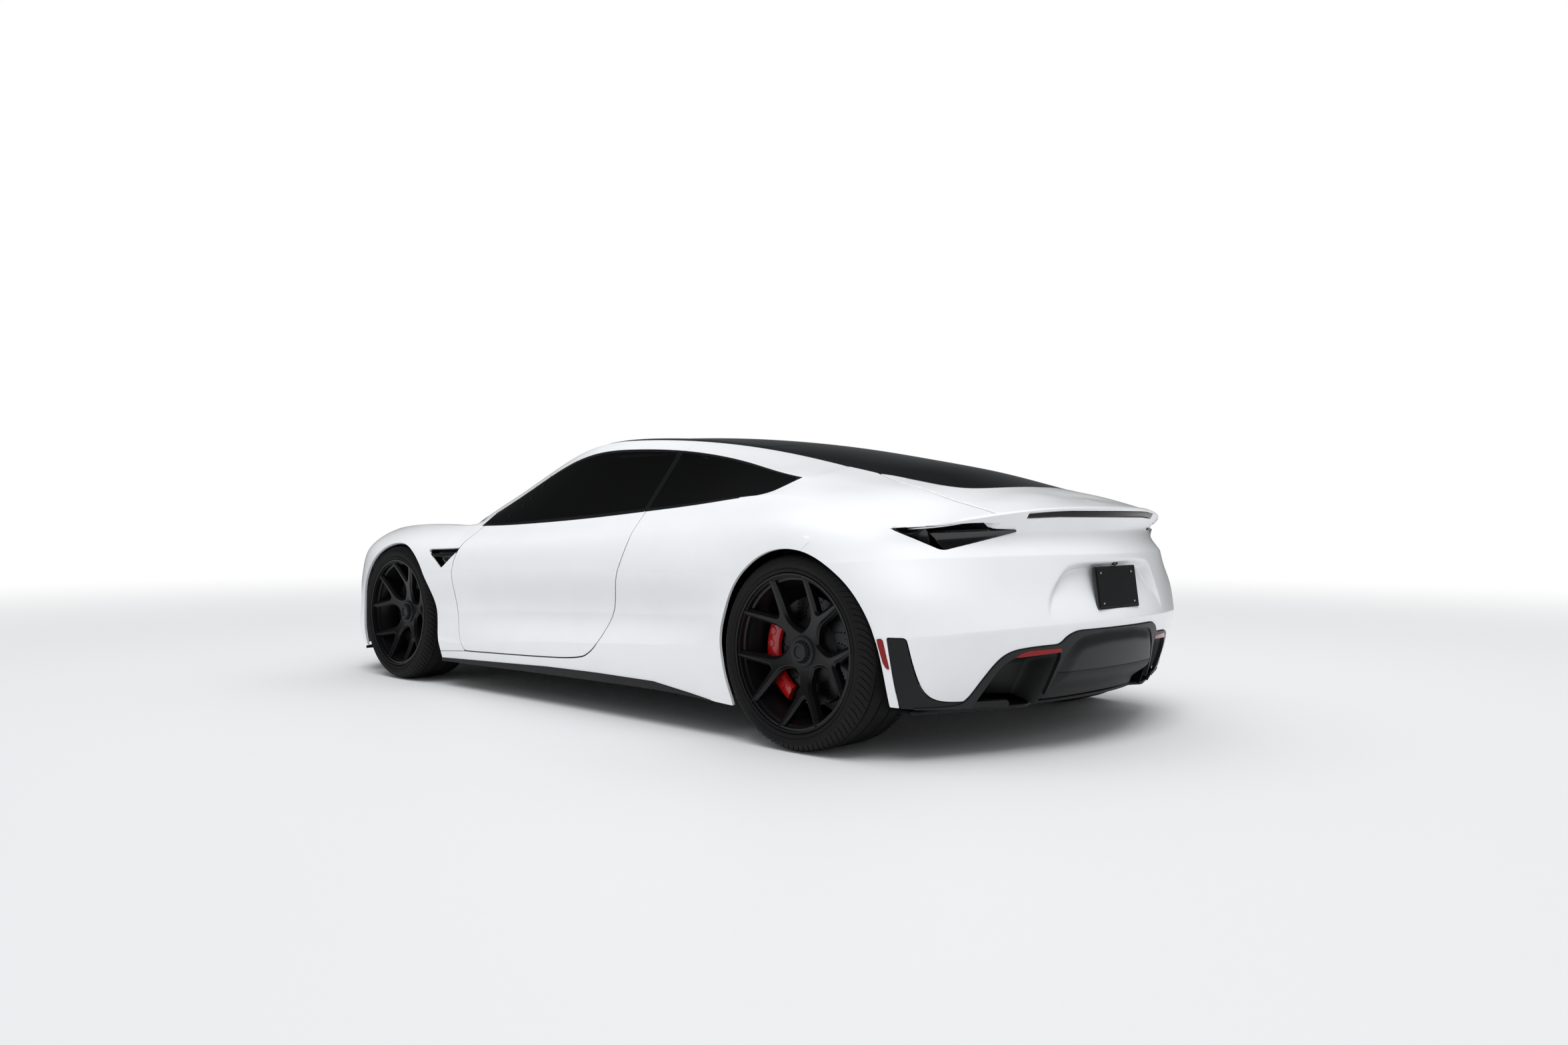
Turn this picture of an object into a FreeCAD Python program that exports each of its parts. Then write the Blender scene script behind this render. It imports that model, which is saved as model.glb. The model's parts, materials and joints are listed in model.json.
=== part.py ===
import FreeCAD, Part
import math
import os

# Low two-door, four-seat electric sports car with a glass roof: white body, black glass, dark lower
# trim and staggered five-spoke wheels. +X is forward, +Y is the car's left and +Z is up, in millimetres.
# The origin lies on the ground under the middle of the body. Left pieces are made and then mirrored.

V = FreeCAD.Vector
ACROSS = V(0, 1, 0)

# Driving dimensions
front_axle_x = 1340.0
rear_axle_x = -1460.0
door_gap = 8.0             # shut line round a door and its glass
lid_gap = 6.0              # shut line round the hood and the tailgate
seam_gap = 0.4             # fixed joint between two panels
rest_gap = 0.3             # between pieces that rest on each other
running_gap = 0.05         # radial clearance of a pin in its bore
skin_wall = 24.0           # painted body wall
door_wall = 105.0          # whole door, skin to inner trim
door_lap = 20.0            # inner part of a door inside its skin's outline
lid_wall = 34.0            # hood and tailgate, skin to inner frame
frame_wall = 18.0          # beams under the glass roof
header_width = 80.0        # beams under the glass roof, along X
glass_wall = 6.0
glass_inset = 4.0          # side glass behind the painted skin
skirt_wall = 25.0
trim_wall = 12.0
cut_y = 1100.0             # beyond the body's side, for cutting tools
cut_z = 1500.0             # above the roof, for cutting tools
cut_x = 2500.0             # beyond both ends, for cutting tools
on_middle = 1e-6

# Tyres and rims. out_y and in_y are the tyre's sides; radii of tread, rim flange, bead seat and well
WHEELS = {
    "front": dict(x=front_axle_x, tyre_r=340.0, out_y=990.0, in_y=722.0,
                  flange_r=271.0, bead_r=254.0, well_r=238.0),
    "rear": dict(x=rear_axle_x, tyre_r=352.0, out_y=990.0, in_y=665.0,
                 flange_r=284.0, bead_r=266.7, well_r=250.0),
}
tyre_wall = 13.0
shoulder_r = 30.0
rim_setback = 6.0          # rim's outer lip behind the tyre's side
flange_wall = 8.0
rim_wall = 9.0
hub_r = 74.0
hub_setback = 71.0         # hub's face behind the tyre's side
spoke_wall = 26.0
spoke_count = 5
SPOKE_START = {"front": 28.0, "rear": 54.0}     # angle of the first spoke
nut_r = 36.0
nut_length = 24.0
spindle_r = 30.0
spindle_setback = 8.0      # spindle's end behind the hub's face
disc_r = 195.0
disc_wall = 28.0
disc_setback = 124.0       # brake disc behind the tyre's side
caliper_in_r = 150.0
caliper_out_r = 214.0
caliper_cheek = 20.0
caliper_gap = 6.0
CALIPERS = {"front": [(180, 62)], "rear": [(0, 62), (-62, 24)]}     # middle angle from +X, span

# Steering and suspension
king_pin_y = 800.0
king_pin_r = 10.0
lug_r = 24.0
lug_height = 34.0
lug_offset = 125.0         # steering lugs above and below the spindle
upright_x = 34.0
upright_wall = 26.0
arm_r = 13.0
arm_base = 170.0           # arm's feet ahead of and behind the axle
arm_foot_y = {"front": 505.0, "rear": 335.0}
bar_x = 150.0              # subframe bars ahead of and behind the axle
bar_wall = 46.0
post_wall = 32.0           # posts that carry the upper arms
ball_r = 17.0

# Wheel arches: circles (x, z, radius) above the axle, outline below it; house round the wheel inside
ARCHES = {
    "front": dict(x=front_axle_x - 4.0, z=340.0, house_r=425.0, house_top=700.0,
                  circles=[(front_axle_x - 2.0, 332.0, 366.0), (front_axle_x + 12.0, 322.0, 374.0)],
                  low=[(972, 340), (955, 240), (935, 140), (930, -50), (1762, -50), (1745, 140), (1726,
                                                                                                  322)]),
    "rear": dict(x=rear_axle_x - 8.0, z=352.0, house_r=379.0, house_top=725.0,
                 circles=[(rear_axle_x - 8.0, 352.0, 366.0), (rear_axle_x + 4.0, 344.0, 373.0)],
                 low=[(-1083, 344), (-1101, 250), (-1118, 196), (-1144, 134), (-1180, -50), (-1856, -50),
                      (-1850, 190), (-1846, 260), (-1834, 352)]),
}
liner_wall = 4.0
liner_out_y = 850.0
liner_span = 210.0

# Body sections, left half, from the tail's middle line round the side to the nose's middle line.
# Columns: x of the low columns, x of the high columns, x of the top middle;
# then y and z of sill, crease, waist, shoulder, haunch, belt, rail and edge; z of the middle; end weight.
CABIN_SECTIONS = [
    (-2190, -2185, -2060, 0, 175, 0, 460, 0, 570, 0, 700, 0, 775, 0, 868, 0, 880, 0, 892, 901, 1.0),
    (-2135, -2110, -2000, 410, 165, 420, 455, 420, 565, 422, 700, 420, 772,
     412, 860, 270, 886, 130, 904, 913, 1.0),
    (-2030, -1985, -1900, 680, 152, 712, 445, 712, 562, 712, 695, 700, 762,
     685, 832, 450, 890, 240, 926, 941, 1.0),
    (-1905, -1840, -1780, 870, 150, 905, 433, 902, 560, 888, 687, 868, 745,
     822, 800, 560, 897, 390, 934, 968, 0.5),
    (-1740, -1720, -1640, 945, 162, 965, 430, 970, 555, 965, 680, 935, 775,
     845, 850, 620, 925, 425, 962, 1003, 0.0),
    (-1460, -1460, -1440, 970, 150, 988, 415, 998, 545, 1003, 660, 972, 810,
     860, 893, 680, 958, 490, 1001, 1048, 0.0),
    (-1200, -1200, -1200, 965, 130, 985, 370, 990, 505, 997, 640, 960, 800,
     850, 915, 700, 995, 480, 1049, 1090, 0.0),
    (-900, -900, -900, 960, 142, 975, 335, 965, 470, 985, 625, 945, 775,
     855, 890, 645, 1055, 480, 1106, 1138, 0.0),
    (-500, -500, -500, 955, 145, 970, 310, 945, 440, 970, 610, 940, 745,
     860, 855, 610, 1115, 520, 1158, 1187, 0.0),
    (-100, -100, -100, 950, 140, 965, 285, 935, 420, 965, 600, 940, 725,
     860, 825, 610, 1137, 560, 1178, 1208, 0.0),
    (300, 300, 300, 950, 135, 965, 258, 935, 405, 968, 590, 945, 705,
     860, 802, 640, 1087, 590, 1130, 1180, 0.0),
    (600, 600, 600, 950, 130, 965, 235, 940, 390, 975, 580, 950, 695,
     860, 790, 725, 930, 670, 975, 1105, 0.0),
    (820, 820, 820, 950, 127, 965, 222, 950, 375, 982, 570, 955, 690,
     855, 787, 800, 810, 755, 845, 1015, 0.0),
]
HOOD_SECTIONS = [
    (820, 820, 820, 950, 127, 965, 222, 950, 375, 982, 570, 955, 690, 855, 787, 680, 780, 400, 802, 810, 0.0),
    (1000, 1000, 1000, 955, 125, 970, 220, 960, 370, 990, 560, 960, 690,
     840, 787, 660, 775, 390, 798, 806, 0.0),
    (1340, 1340, 1340, 960, 130, 980, 230, 985, 360, 1003, 550, 965, 690,
     820, 788, 620, 765, 360, 785, 793, 0.0),
    (1580, 1580, 1560, 955, 135, 970, 235, 980, 350, 990, 535, 950, 680,
     805, 775, 600, 742, 340, 757, 765, 0.0),
    (1750, 1750, 1710, 935, 140, 955, 240, 960, 350, 955, 520, 920, 662,
     790, 748, 580, 712, 320, 725, 732, -0.2),
    (1900, 1890, 1820, 865, 138, 895, 240, 895, 345, 885, 505, 855, 630,
     745, 705, 530, 685, 290, 697, 703, -0.6),
    (2040, 2040, 1930, 680, 132, 730, 240, 720, 340, 720, 490, 700, 590,
     630, 655, 430, 667, 230, 680, 685, -1.0),
    (2150, 2165, 2010, 400, 130, 420, 240, 410, 340, 420, 475, 410, 565,
     380, 625, 260, 648, 140, 662, 668, -1.0),
    (2190, 2210, 2060, 0, 130, 0, 240, 0, 340, 0, 470, 0, 555, 0, 610, 0, 632, 0, 648, 655, -1.0),
]
# Windscreen's foot ahead of the cabin sections: x, then y and z of rail and edge, and z of the middle
SCREEN_SECTIONS = [
    (1000, 715, 786, 690, 800, 940),
    (1150, 522, 788, 500, 800, 876),
    (1280, 280, 788, 260, 797, 815),
    (1345, 24, 784, 10, 785, 786),
]
# X added to the end faces at sill, crease, waist, shoulder, haunch and belt, times the end weight
TAIL_PROFILE = (60, -20, 30, 0, 40, 0)
NOSE_PROFILE = (20, 0, 35, 0, 30, 85)
TOP_SHARES = (0.35, 0.70)
CROWN = (0.35, 0.70)       # extra columns between edge and middle, as shares of the half width
SILL, CREASE, WAIST, SHOULDER, HAUNCH, BELT, RAIL, EDGE, CROWN_1, CROWN_2, MIDDLE = range(11)

# Side view (x, z): door, seams from top to bottom, lamps
DOOR_OUTLINE = [(695, cut_z), (712, 790), (750, 720), (800, 650), (820, 530), (810, 360), (770, 240),
                (730, 188), (0, 214), (-200, 232), (-250, 252), (-300, 290), (-390, 380), (-420, 460),
                (-440, 570), (-500, 680), (-560, 770), (-572, cut_z)]
skirt_line = [(-1125, 205), (985, 178)]
front_seam = [(1985, cut_z), (1925, 640), (1700, 560), (1540, -50)]
rear_seam = [(-1822, cut_z), (-1800, 792), (-1655, 700), (-1600, 600), (-1600, -50)]
HEADLAMP_OUTLINE = [(1745, 668), (1850, 640), (2010, 590), (2040, 612), (1985, 645), (1850, 695), (1760, 706)]
TAIL_LAMP_OUTLINE = [(-1812, 796), (-1864, 748), (-1923, 719), (-1990, 752), (-2052, 786), (-2052, 794),
                     (-1985, 800), (-1990, 845), (-1850, 845)]
CORNER_OUTLINE = [(-1895, -50), (-1895, 190), (-1878, 320), (-1866, 432), (-1945, 438), (-1975, 323),
                  (-2030, 219),
                  (-2060, 200), (-2060, -50)]
tail_lamp_y = 452.0        # lamps' inner ends
strip_end_y = 444.0        # light strip under the tail's lip
strip_z = 832.0
lamp_depth = 22.0
# Seen from the end (y, z), left half
DIFFUSER_OUTLINE = [(0, -50), (0, 436), (270, 434), (318, 418), (349, 389), (456, 386), (536, 378), (578,
                                                                                                     361),
                    (610, 325), (642, 266), (668, 205), (700, 192), (890, 192), (890, -50)]
INTAKE_OUTLINE = [(0, 158), (0, 322), (420, 322), (650, 292), (690, 240), (560, 168), (300, 158)]
# Plan (x, y), left half
roof_front_x = 140.0       # lift-off roof panel
roof_rear_x = -470.0
glass_rear_x = -1872.0     # lower end of the rear glass
dlo_rear_x = -1250.0       # tip of the side glass
door_glass_x = (-500.0, 698.0)
tailgate_hinge_x = -800.0
tailgate_hinge_z = 1150.0
TAILGATE_SIDE = [(tailgate_hinge_x, 486), (-900, 476), (-1200, 476), (-1445, 486), (-1600, 552), (-1900, 552),
                 (-2060, 446), (-2300, 446)]
TAILGATE_WINDOW = [(-870, 0), (-870, 400), (-1450, 410), (-1700, 350), (-1810, 300), (-1820, 0)]
cowl_depth = 30.0          # hood's rear edge ahead of the windscreen's foot
hood_hinge_x = 1060.0
hood_hinge_z = 803.0
hood_corner_y = 640.0
HOOD_NOSE = [(1935, 450), (1980, 290), (2006, 0)]

# Inner structure
floor_x = (-1040.0, 880.0)
floor_z = (262.0, 278.0)
sill_z = (150.0, 300.0)
sill_in_y = 800.0
hinge_relief = (650.0, 900.0)    # x from and y from: sill cut back where the door's front edge swings in
bulkhead_wall = 20.0
bulkhead_top = 750.0
tray_drop = 16.0           # cowl tray below the top of the front bulkhead
battery_x = (-960.0, 800.0)
battery_y = 720.0
front_trunk = dict(length=880.0, half_width=530.0, z=(330.0, 655.0))
rear_trunk = dict(length=880.0, half_width=610.0, z=(420.0, 715.0))
tub_wall = 5.0
DRIVE_UNITS = [(1250, 1430, 200, 170), (-1600, -1320, 300, 200)]      # x from, x to, half width, z from
seat_middle_y = 380.0
seat_half_width = 245.0
FRONT_SEAT = [(-130, 0), (470, 0), (520, 90), (500, 132), (440, 142), (60, 108), (-50, 142), (-250, 530),
              (-285, 680), (-345, 696), (-388, 650), (-345, 500), (-160, 90)]
REAR_SEAT = [(0, 0), (560, 0), (580, 120), (240, 100), (80, 540), (10, 560), (0, 520)]
rear_seat_half_width = 520.0
DASHBOARD = [(880, 560), (880, 755), (700, 752), (600, 705), (560, 590), (640, 540)]
dashboard_half_width = 750.0
CONSOLE = [(-250, 0), (-250, 190), (300, 215), (560, 330), (660, 330), (660, 0)]
console_half_width = 105.0
steering_wheel_at = V(395, seat_middle_y, 650)
steering_wheel_r = 168.0
steering_grip_r = 15.0
column_tilt = 22.0
column_r = 28.0
plate_width = 304.8        # 12 by 6 inch registration plate
plate_height = 152.4
plate_wall = 3.0
plate_at = (-2176.0, 582.0)
plate_lean = 8.6
splitter_z = (104.0, 122.0)
splitter_reach = 14.0


def save(name, shape):
    shape.exportStep("parts/" + name + ".step")
    print(name, len(shape.Solids), shape.isValid(), round(shape.Volume / 1e6, 2), len(shape.Faces))


def mirrored(shape):
    return shape.mirror(V(0, 0, 0), ACROSS)


def save_pair(name, left):
    save(name + "_left", left)
    save(name + "_right", mirrored(left))


def pair(left):
    """A left solid and its mirror image, as the two solids of one piece."""
    return Part.makeCompound(left.Solids + mirrored(left).Solids)


def main_solid(shape):
    """The largest solid, without the slivers that a seam beside an arch leaves."""
    return max(shape.Solids, key=lambda solid: solid.Volume)


def whole(left):
    """A left half that reaches the middle plane, joined to its mirror image."""
    return left.fuse(mirrored(left))


def joined(shapes):
    return shapes[0].fuse(shapes[1:])


def box(x_range, y_range, z_range):
    corner = V(x_range[0], y_range[0], z_range[0])
    return Part.makeBox(x_range[1] - x_range[0], y_range[1] - y_range[0], z_range[1] - z_range[0], corner)


def prism(points, direction):
    return Part.Face(Part.makePolygon(points + [points[0]])).extrude(direction)


def side_prism(outline, y0, y1):
    return prism([V(x, y0, z) for x, z in outline], V(0, y1 - y0, 0))


def plan_prism(outline, z0, z1):
    return prism([V(x, y, z0) for x, y in outline], V(0, 0, z1 - z0))


def end_prism(outline, x0, x1):
    return prism([V(x0, y, z) for y, z in outline], V(x1 - x0, 0, 0))


def turned(profile, centre, middle=0.0, span=360.0):
    """Solid of revolution about an axis along Y; the profile is (radius, y), angles count from +X to +Z."""
    x, z = centre
    ring = [V(x + r, y, z) for r, y in profile]
    face = Part.Face(Part.makePolygon(ring + [ring[0]]))
    if span < 360:
        face.rotate(V(x, 0, z), ACROSS, span / 2 - middle)
    return face.revolve(V(x, 0, z), ACROSS * -1, span)


def cylinder_y(r, y0, y1, centre):
    return Part.makeCylinder(r, y1 - y0, V(centre[0], y0, centre[1]), ACROSS)


def rod(start, end, r):
    return Part.makeCylinder(r, (end - start).Length, start, end - start)


def grown(outline, gap):
    """Flat outline moved outwards by a gap, with sharp corners."""
    wire = Part.makePolygon([V(a, b, 0) for a, b in outline + outline[:1]])
    wide = wire.makeOffset2D(gap, 2)
    return [(v.X, v.Y) for v in wide.OrderedVertexes]


def both_sides(outline):
    """Left half of a plan outline and its mirror image, as one loop."""
    return outline + [(x, -y) for x, y in outline[::-1] if abs(y) > on_middle]


def ahead_of(line, gap=0.0):
    """Everything ahead of a seam that is drawn in side view from top to bottom."""
    return side_prism([(x - gap, z) for x, z in line] + [(cut_x, line[-1][1]), (cut_x, cut_z)], -1, cut_y)


def behind(line, gap=0.0):
    return side_prism([(x + gap, z) for x, z in line] + [(-cut_x, line[-1][1]), (-cut_x, cut_z)], -1, cut_y)


def crown_points(edge, middle):
    """Points from beside the edge to the middle, level at the middle."""
    points = []
    for share in CROWN:
        rise = 1 - (1 - share) ** 2
        points.append(V(edge.x + (middle.x - edge.x) * rise, edge.y * (1 - share),
                        edge.z + (middle.z - edge.z) * rise))
    return points + [middle]


def section_points(row):
    """The named points of one body section, from the sill to the middle of the top."""
    x_low, x_high, x_top = row[:3]
    weight = row[-1]
    profile = TAIL_PROFILE if weight >= 0 else NOSE_PROFILE
    points = []
    for j in range(RAIL):
        x = (x_low if j < SHOULDER else x_high) + profile[j] * weight
        points.append(V(x, row[3 + 2 * j], row[4 + 2 * j]))
    belt_x = points[BELT].x
    for j, share in zip((RAIL, EDGE), TOP_SHARES):
        points.append(V(belt_x + (x_top - belt_x) * share, row[3 + 2 * j], row[4 + 2 * j]))
    return points + crown_points(points[EDGE], V(x_top, 0, row[-2]))


def rows_at(net, first_x, last_x, grid=None):
    """Rows of a grid on a net from one x to another, measured at the middle, with new rows at both ends."""
    grid = grid or net

    def row_at(x):
        for a, b, low, high in zip(net, net[1:], grid, grid[1:]):
            if a[MIDDLE].x <= x <= b[MIDDLE].x:
                share = (x - a[MIDDLE].x) / (b[MIDDLE].x - a[MIDDLE].x)
                return [p + (q - p) * share for p, q in zip(low, high)]
        raise ValueError("no section at x = %s" % x)
    inside = [line for row, line in zip(net, grid) if first_x + 1 < row[MIDDLE].x < last_x - 1]
    return [row_at(first_x)] + inside + [row_at(last_x)]


hood_net = [section_points(r) for r in HOOD_SECTIONS]
body_net = [section_points(r) for r in CABIN_SECTIONS] + hood_net[1:]
cabin_front_x = CABIN_SECTIONS[-1][0]
tail_x = body_net[0][MIDDLE].x
nose_x = body_net[-1][MIDDLE].x
screen_foot = [(cabin_front_x, 755.0)] + [(r[0], r[3]) for r in SCREEN_SECTIONS[:-1]] + [(1345.0, 0.0)]


def screen_row(row):
    """Section of the windscreen's foot on the columns of a body section."""
    x, rail_y, rail_z, edge_y, edge_z, middle_z = row
    edge = V(x, edge_y, edge_z)
    side = rows_at(hood_net, x, x + 10)[0][:RAIL]
    return side + [V(x, rail_y, rail_z), edge] + crown_points(edge, V(x, 0, middle_z))


screen_net = rows_at(body_net, roof_front_x + seam_gap, cabin_front_x)
screen_net += [screen_row(r) for r in SCREEN_SECTIONS]


def lowered_rail(net, gap):
    """The same net with its rail column moved down the side glass by a gap."""
    return [row[:RAIL] + [row[RAIL] + unit(row[BELT] - row[RAIL]) * gap] + row[EDGE:] for row in net]


def unit(v):
    return V(v).normalize() if v.Length > 1e-9 else V(0, 0, 0)


def net_normals(net):
    """Outward unit normal at each point of a net of sections, level across the middle plane."""
    normals = []
    for i, row in enumerate(net):
        back, ahead = net[max(i - 1, 0)], net[min(i + 1, len(net) - 1)]
        line = []
        for j, p in enumerate(row):
            along = unit(ahead[j] - p) + unit(p - back[j])
            up = unit(row[min(j + 1, len(row) - 1)] - p) + unit(p - row[max(j - 1, 0)])
            n = up.cross(along)
            if abs(p.y) < on_middle:
                ends_here = abs(row[SILL].y) < on_middle
                n = (up if ends_here else along).cross(ACROSS)
                n = n * -1 if ends_here and i > 0 else n
            line.append(unit(n))
        normals.append(line)
    return normals


def patch(a, b, c, d):
    """Four-cornered face, flat where its corners allow and otherwise ruled."""
    n = (c - a).cross(d - b)
    if n.Length > 1e-9 and abs((b - a).dot(n) / n.Length) < 1e-8:
        return Part.Face(Part.makePolygon([a, b, c, d, a]))
    return Part.makeRuledSurface(Part.makeLine(a, b), Part.makeLine(d, c))


def grid_solid(outer, inner):
    """Closed solid between two grids of points of the same size."""
    rows, cols = len(outer), len(outer[0])
    faces = []
    for i in range(rows - 1):
        for j in range(cols - 1):
            for grid in (outer, inner):
                faces.append(patch(grid[i][j], grid[i][j + 1], grid[i + 1][j + 1], grid[i + 1][j]))
    for i in (0, rows - 1):
        for j in range(cols - 1):
            faces.append(patch(outer[i][j], outer[i][j + 1], inner[i][j + 1], inner[i][j]))
    for j in (0, cols - 1):
        for i in range(rows - 1):
            faces.append(patch(outer[i][j], outer[i + 1][j], inner[i + 1][j], inner[i][j]))
    shell = Part.Shell(faces)
    if not shell.isClosed():
        shell.sewShape()
    solid = Part.Solid(shell)
    if solid.Volume < 0:
        solid.reverse()
    return solid


def band(net, first, last, wall, depth=0.0, span=None):
    """Wall that follows columns first to last of a net; its outer face lies `depth` inside the net."""
    outer, inner = [], []
    for row, normals in zip(net, net_normals(net)):
        outer.append([p - n * depth for p, n in zip(row, normals)])
        inner.append([p - n * (depth + wall) for p, n in zip(row, normals)])
    if span:
        outer, inner = rows_at(net, *span, outer), rows_at(net, *span, inner)
    columns = slice(first, last + 1)
    return grid_solid([row[columns] for row in outer], [row[columns] for row in inner])


def hood_outline(gap=0.0):
    """Plan of the hood, or of its opening when moved outwards by a gap."""
    rear = [(x + cowl_depth - gap, y) for x, y in screen_foot[::-1] if y < hood_corner_y - 100]
    side = [(row[RAIL].x,
             row[RAIL].y) for row in hood_net if hood_hinge_x < row[RAIL].x < HOOD_NOSE[0][0] - 60]
    side = [(hood_hinge_x - gap, hood_corner_y + gap)] + [(x, y + gap) for x, y in side]
    nose = [(x + gap, y) for x, y in HOOD_NOSE]
    return both_sides((rear + side + nose)[::-1])


def tailgate_outline(gap=0.0):
    (x0, y0), rest = TAILGATE_SIDE[0], TAILGATE_SIDE[1:]
    left = [(x0 + gap, 0), (x0 + gap, y0 + gap)] + [(x, y + gap) for x, y in rest] + [(rest[-1][0], 0)]
    return both_sides(left)


def skirt_zone(gap=0.0):
    (x0, z0), (x1, z1) = skirt_line
    return side_prism([(x0 - gap, -50), (x1 + gap, -50), (x1 + gap, z1 + gap), (x0 - gap, z0 + gap)], 500,
                      cut_y)


def tail_lamp_zone(gap=0.0):
    """Openings of both lamps' left half and of the light strip between them."""
    lamp = side_prism(grown(TAIL_LAMP_OUTLINE, gap), tail_lamp_y - gap, cut_y)
    strip = box((-cut_x, -1900), (-1, strip_end_y), (strip_z - gap, cut_z))
    return lamp.fuse(strip)


def headlamp_zone(gap=0.0):
    return side_prism(grown(HEADLAMP_OUTLINE, gap), 300, cut_y)


def arch_tools():
    """Solids that cut both wheel arches out of the body's left side."""
    tools = []
    for arch in ARCHES.values():
        tools += [cylinder_y(r, 700, cut_y, (x, z)) for x, z, r in arch["circles"]]
        tools.append(side_prism(arch["low"], 700, cut_y))
    return tools


def body_panels():
    """Fenders, quarter panels and bumpers: one wall round the side, cut at its seams."""
    door_hole = side_prism(grown(DOOR_OUTLINE, door_gap), 500, cut_y)
    side = band(body_net, SILL, BELT, skin_wall).cut(arch_tools() + [skirt_zone(seam_gap), door_hole])
    upper = band(body_net, BELT, RAIL, skin_wall, 0.0, (door_glass_x[1] + door_gap, nose_x))
    lip = band(body_net, RAIL, MIDDLE, skin_wall, 0.0, (HOOD_SECTIONS[5][2], nose_x))
    foot = [(row[RAIL].x + seam_gap, row[RAIL].y + seam_gap) for row in screen_net[:-6:-1]]
    foot = [(foot[0][0], -1)] + foot + [(0, foot[-1][1]), (0, -1)]
    hood_hole = plan_prism(hood_outline(lid_gap), 400, cut_z)
    upper = joined([upper, lip]).cut([hood_hole, plan_prism(foot, 400, cut_z), door_hole])
    door_line = [(600, cut_z), (600, -50)]
    front = joined([side.common(ahead_of(door_line)), upper]).cut(headlamp_zone(seam_gap))
    save_pair("front_fender", main_solid(front.cut(ahead_of(front_seam, seam_gap))))
    nose = front.common(ahead_of(front_seam)).cut(end_prism(grown(INTAKE_OUTLINE, seam_gap), 1700, cut_x))
    save("front_bumper", whole(nose))
    corner = side_prism(grown(CORNER_OUTLINE, seam_gap), 500, cut_y)
    back = side.common(behind(door_line)).cut([tail_lamp_zone(seam_gap), corner])
    deck = band(body_net, BELT, EDGE, skin_wall, 0.0, (tail_x, dlo_rear_x))
    rail = band(body_net, RAIL, EDGE, skin_wall, 0.0, (dlo_rear_x, roof_rear_x - seam_gap))
    deck, rail = [shape.cut(plan_prism(tailgate_outline(lid_gap), 600, cut_z)) for shape in (deck, rail)]
    save_pair("quarter_panel", main_solid(joined([back.cut(behind(rear_seam, seam_gap)), deck, rail])))
    bumper = back.common(behind(rear_seam)).cut(end_prism(grown(DIFFUSER_OUTLINE, seam_gap), -cut_x, -1905))
    save("rear_bumper", whole(bumper))


def lower_trim():
    """Side skirts, rear valance with the diffuser, front grille and splitter."""
    skirt = band(body_net, SILL, CREASE, skirt_wall).common(skirt_zone()).cut(arch_tools())
    save("side_skirts", pair(skirt))
    tail = [row for row in body_net if row[SILL].x < -1700]
    plate = band(tail, SILL, CREASE, trim_wall, skin_wall / 2).common(end_prism(DIFFUSER_OUTLINE, -cut_x,
                                                                                -1905))
    ramp = side_prism([(-1740, 150), (-2112, 178), (-2112, 190), (-1740, 162)], 0, 640)
    fins = [side_prism([(-1800, 152), (-2135, 172), (-2140, 300), (-2090, 300), (-1800, 158)], y - 4, y + 4)
            for y in (150, 330, 520)]
    edge = [(row[SILL].x + trim_wall / 2, row[SILL].y) for row in tail]
    inside = plan_prism(edge + [(edge[-1][0], -1), (edge[0][0], -1)], 0, cut_z)
    ramp, fins = ramp.common(inside), [fin.common(inside) for fin in fins]
    corner = band(tail, SILL, CREASE, skin_wall).common(side_prism(CORNER_OUTLINE, 500, cut_y))
    corner = corner.cut(end_prism(grown(DIFFUSER_OUTLINE, seam_gap), -cut_x, -1905))
    centre = whole(joined([plate, ramp] + fins))
    save("rear_valance", Part.makeCompound(centre.Solids + corner.Solids + mirrored(corner).Solids))
    nose = [row for row in body_net if row[SILL].x > 1700]
    grille = band(nose, SILL, WAIST, trim_wall, skin_wall / 2)
    save("front_grille", whole(grille.common(end_prism(INTAKE_OUTLINE, 1700, cut_x))))
    rim = [(row[SILL].x, row[SILL].y) for row in nose]
    plan = [(x + splitter_reach, y + splitter_reach) for x, y in rim[:-1]] + [(rim[-1][0] + splitter_reach,
                                                                               0)]
    save("front_splitter", plan_prism(both_sides([(rim[0][0], 0)] + plan)[:-1], *splitter_z))


def lamps():
    save("headlamps", pair(band(body_net, WAIST, BELT, skin_wall + trim_wall).common(headlamp_zone())))
    tail = [row for row in body_net if row[SILL].x < -1650]
    lamp = band(tail, WAIST, BELT, trim_wall, lamp_depth).common(tail_lamp_zone())
    lid = band(body_net, BELT, MIDDLE, lid_wall + lid_gap, 0.0, (tail_x, -1600))
    save("tail_lamps", whole(lamp.cut(lid)))


def glass_and_roof():
    """Windscreen in its frame, lift-off roof panel, fixed bridge behind it and side glass."""
    pillar = band(screen_net, RAIL, EDGE, skin_wall)
    under = glass_wall + rest_gap
    header = (roof_front_x + seam_gap, roof_front_x + header_width)
    header = band(screen_net, RAIL, MIDDLE, frame_wall, under, header)
    save("windscreen_frame", whole(joined([pillar, header])))
    save("windscreen", whole(band(screen_net, EDGE, MIDDLE, glass_wall)))
    roof = (roof_rear_x, roof_front_x)
    beams = [band(body_net, RAIL, MIDDLE, frame_wall, under, (x, x + header_width))
             for x in (roof_rear_x, roof_front_x - header_width)]
    save("roof_panel", whole(joined([band(body_net, RAIL, EDGE, skin_wall, 0.0, roof)] + beams)))
    save("roof_glass", whole(band(body_net, EDGE, MIDDLE, glass_wall, 0.0, roof)))
    bridge = (tailgate_hinge_x + lid_gap, roof_rear_x - seam_gap)
    save("roof_bridge", whole(band(body_net, EDGE, MIDDLE, glass_wall + frame_wall, 0.0, bridge)))
    quarter = (dlo_rear_x, door_glass_x[0] - door_gap)
    save("quarter_glass", pair(band(lowered_rail(body_net, seam_gap), BELT, RAIL, glass_wall, glass_inset,
                                    quarter)))


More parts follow.
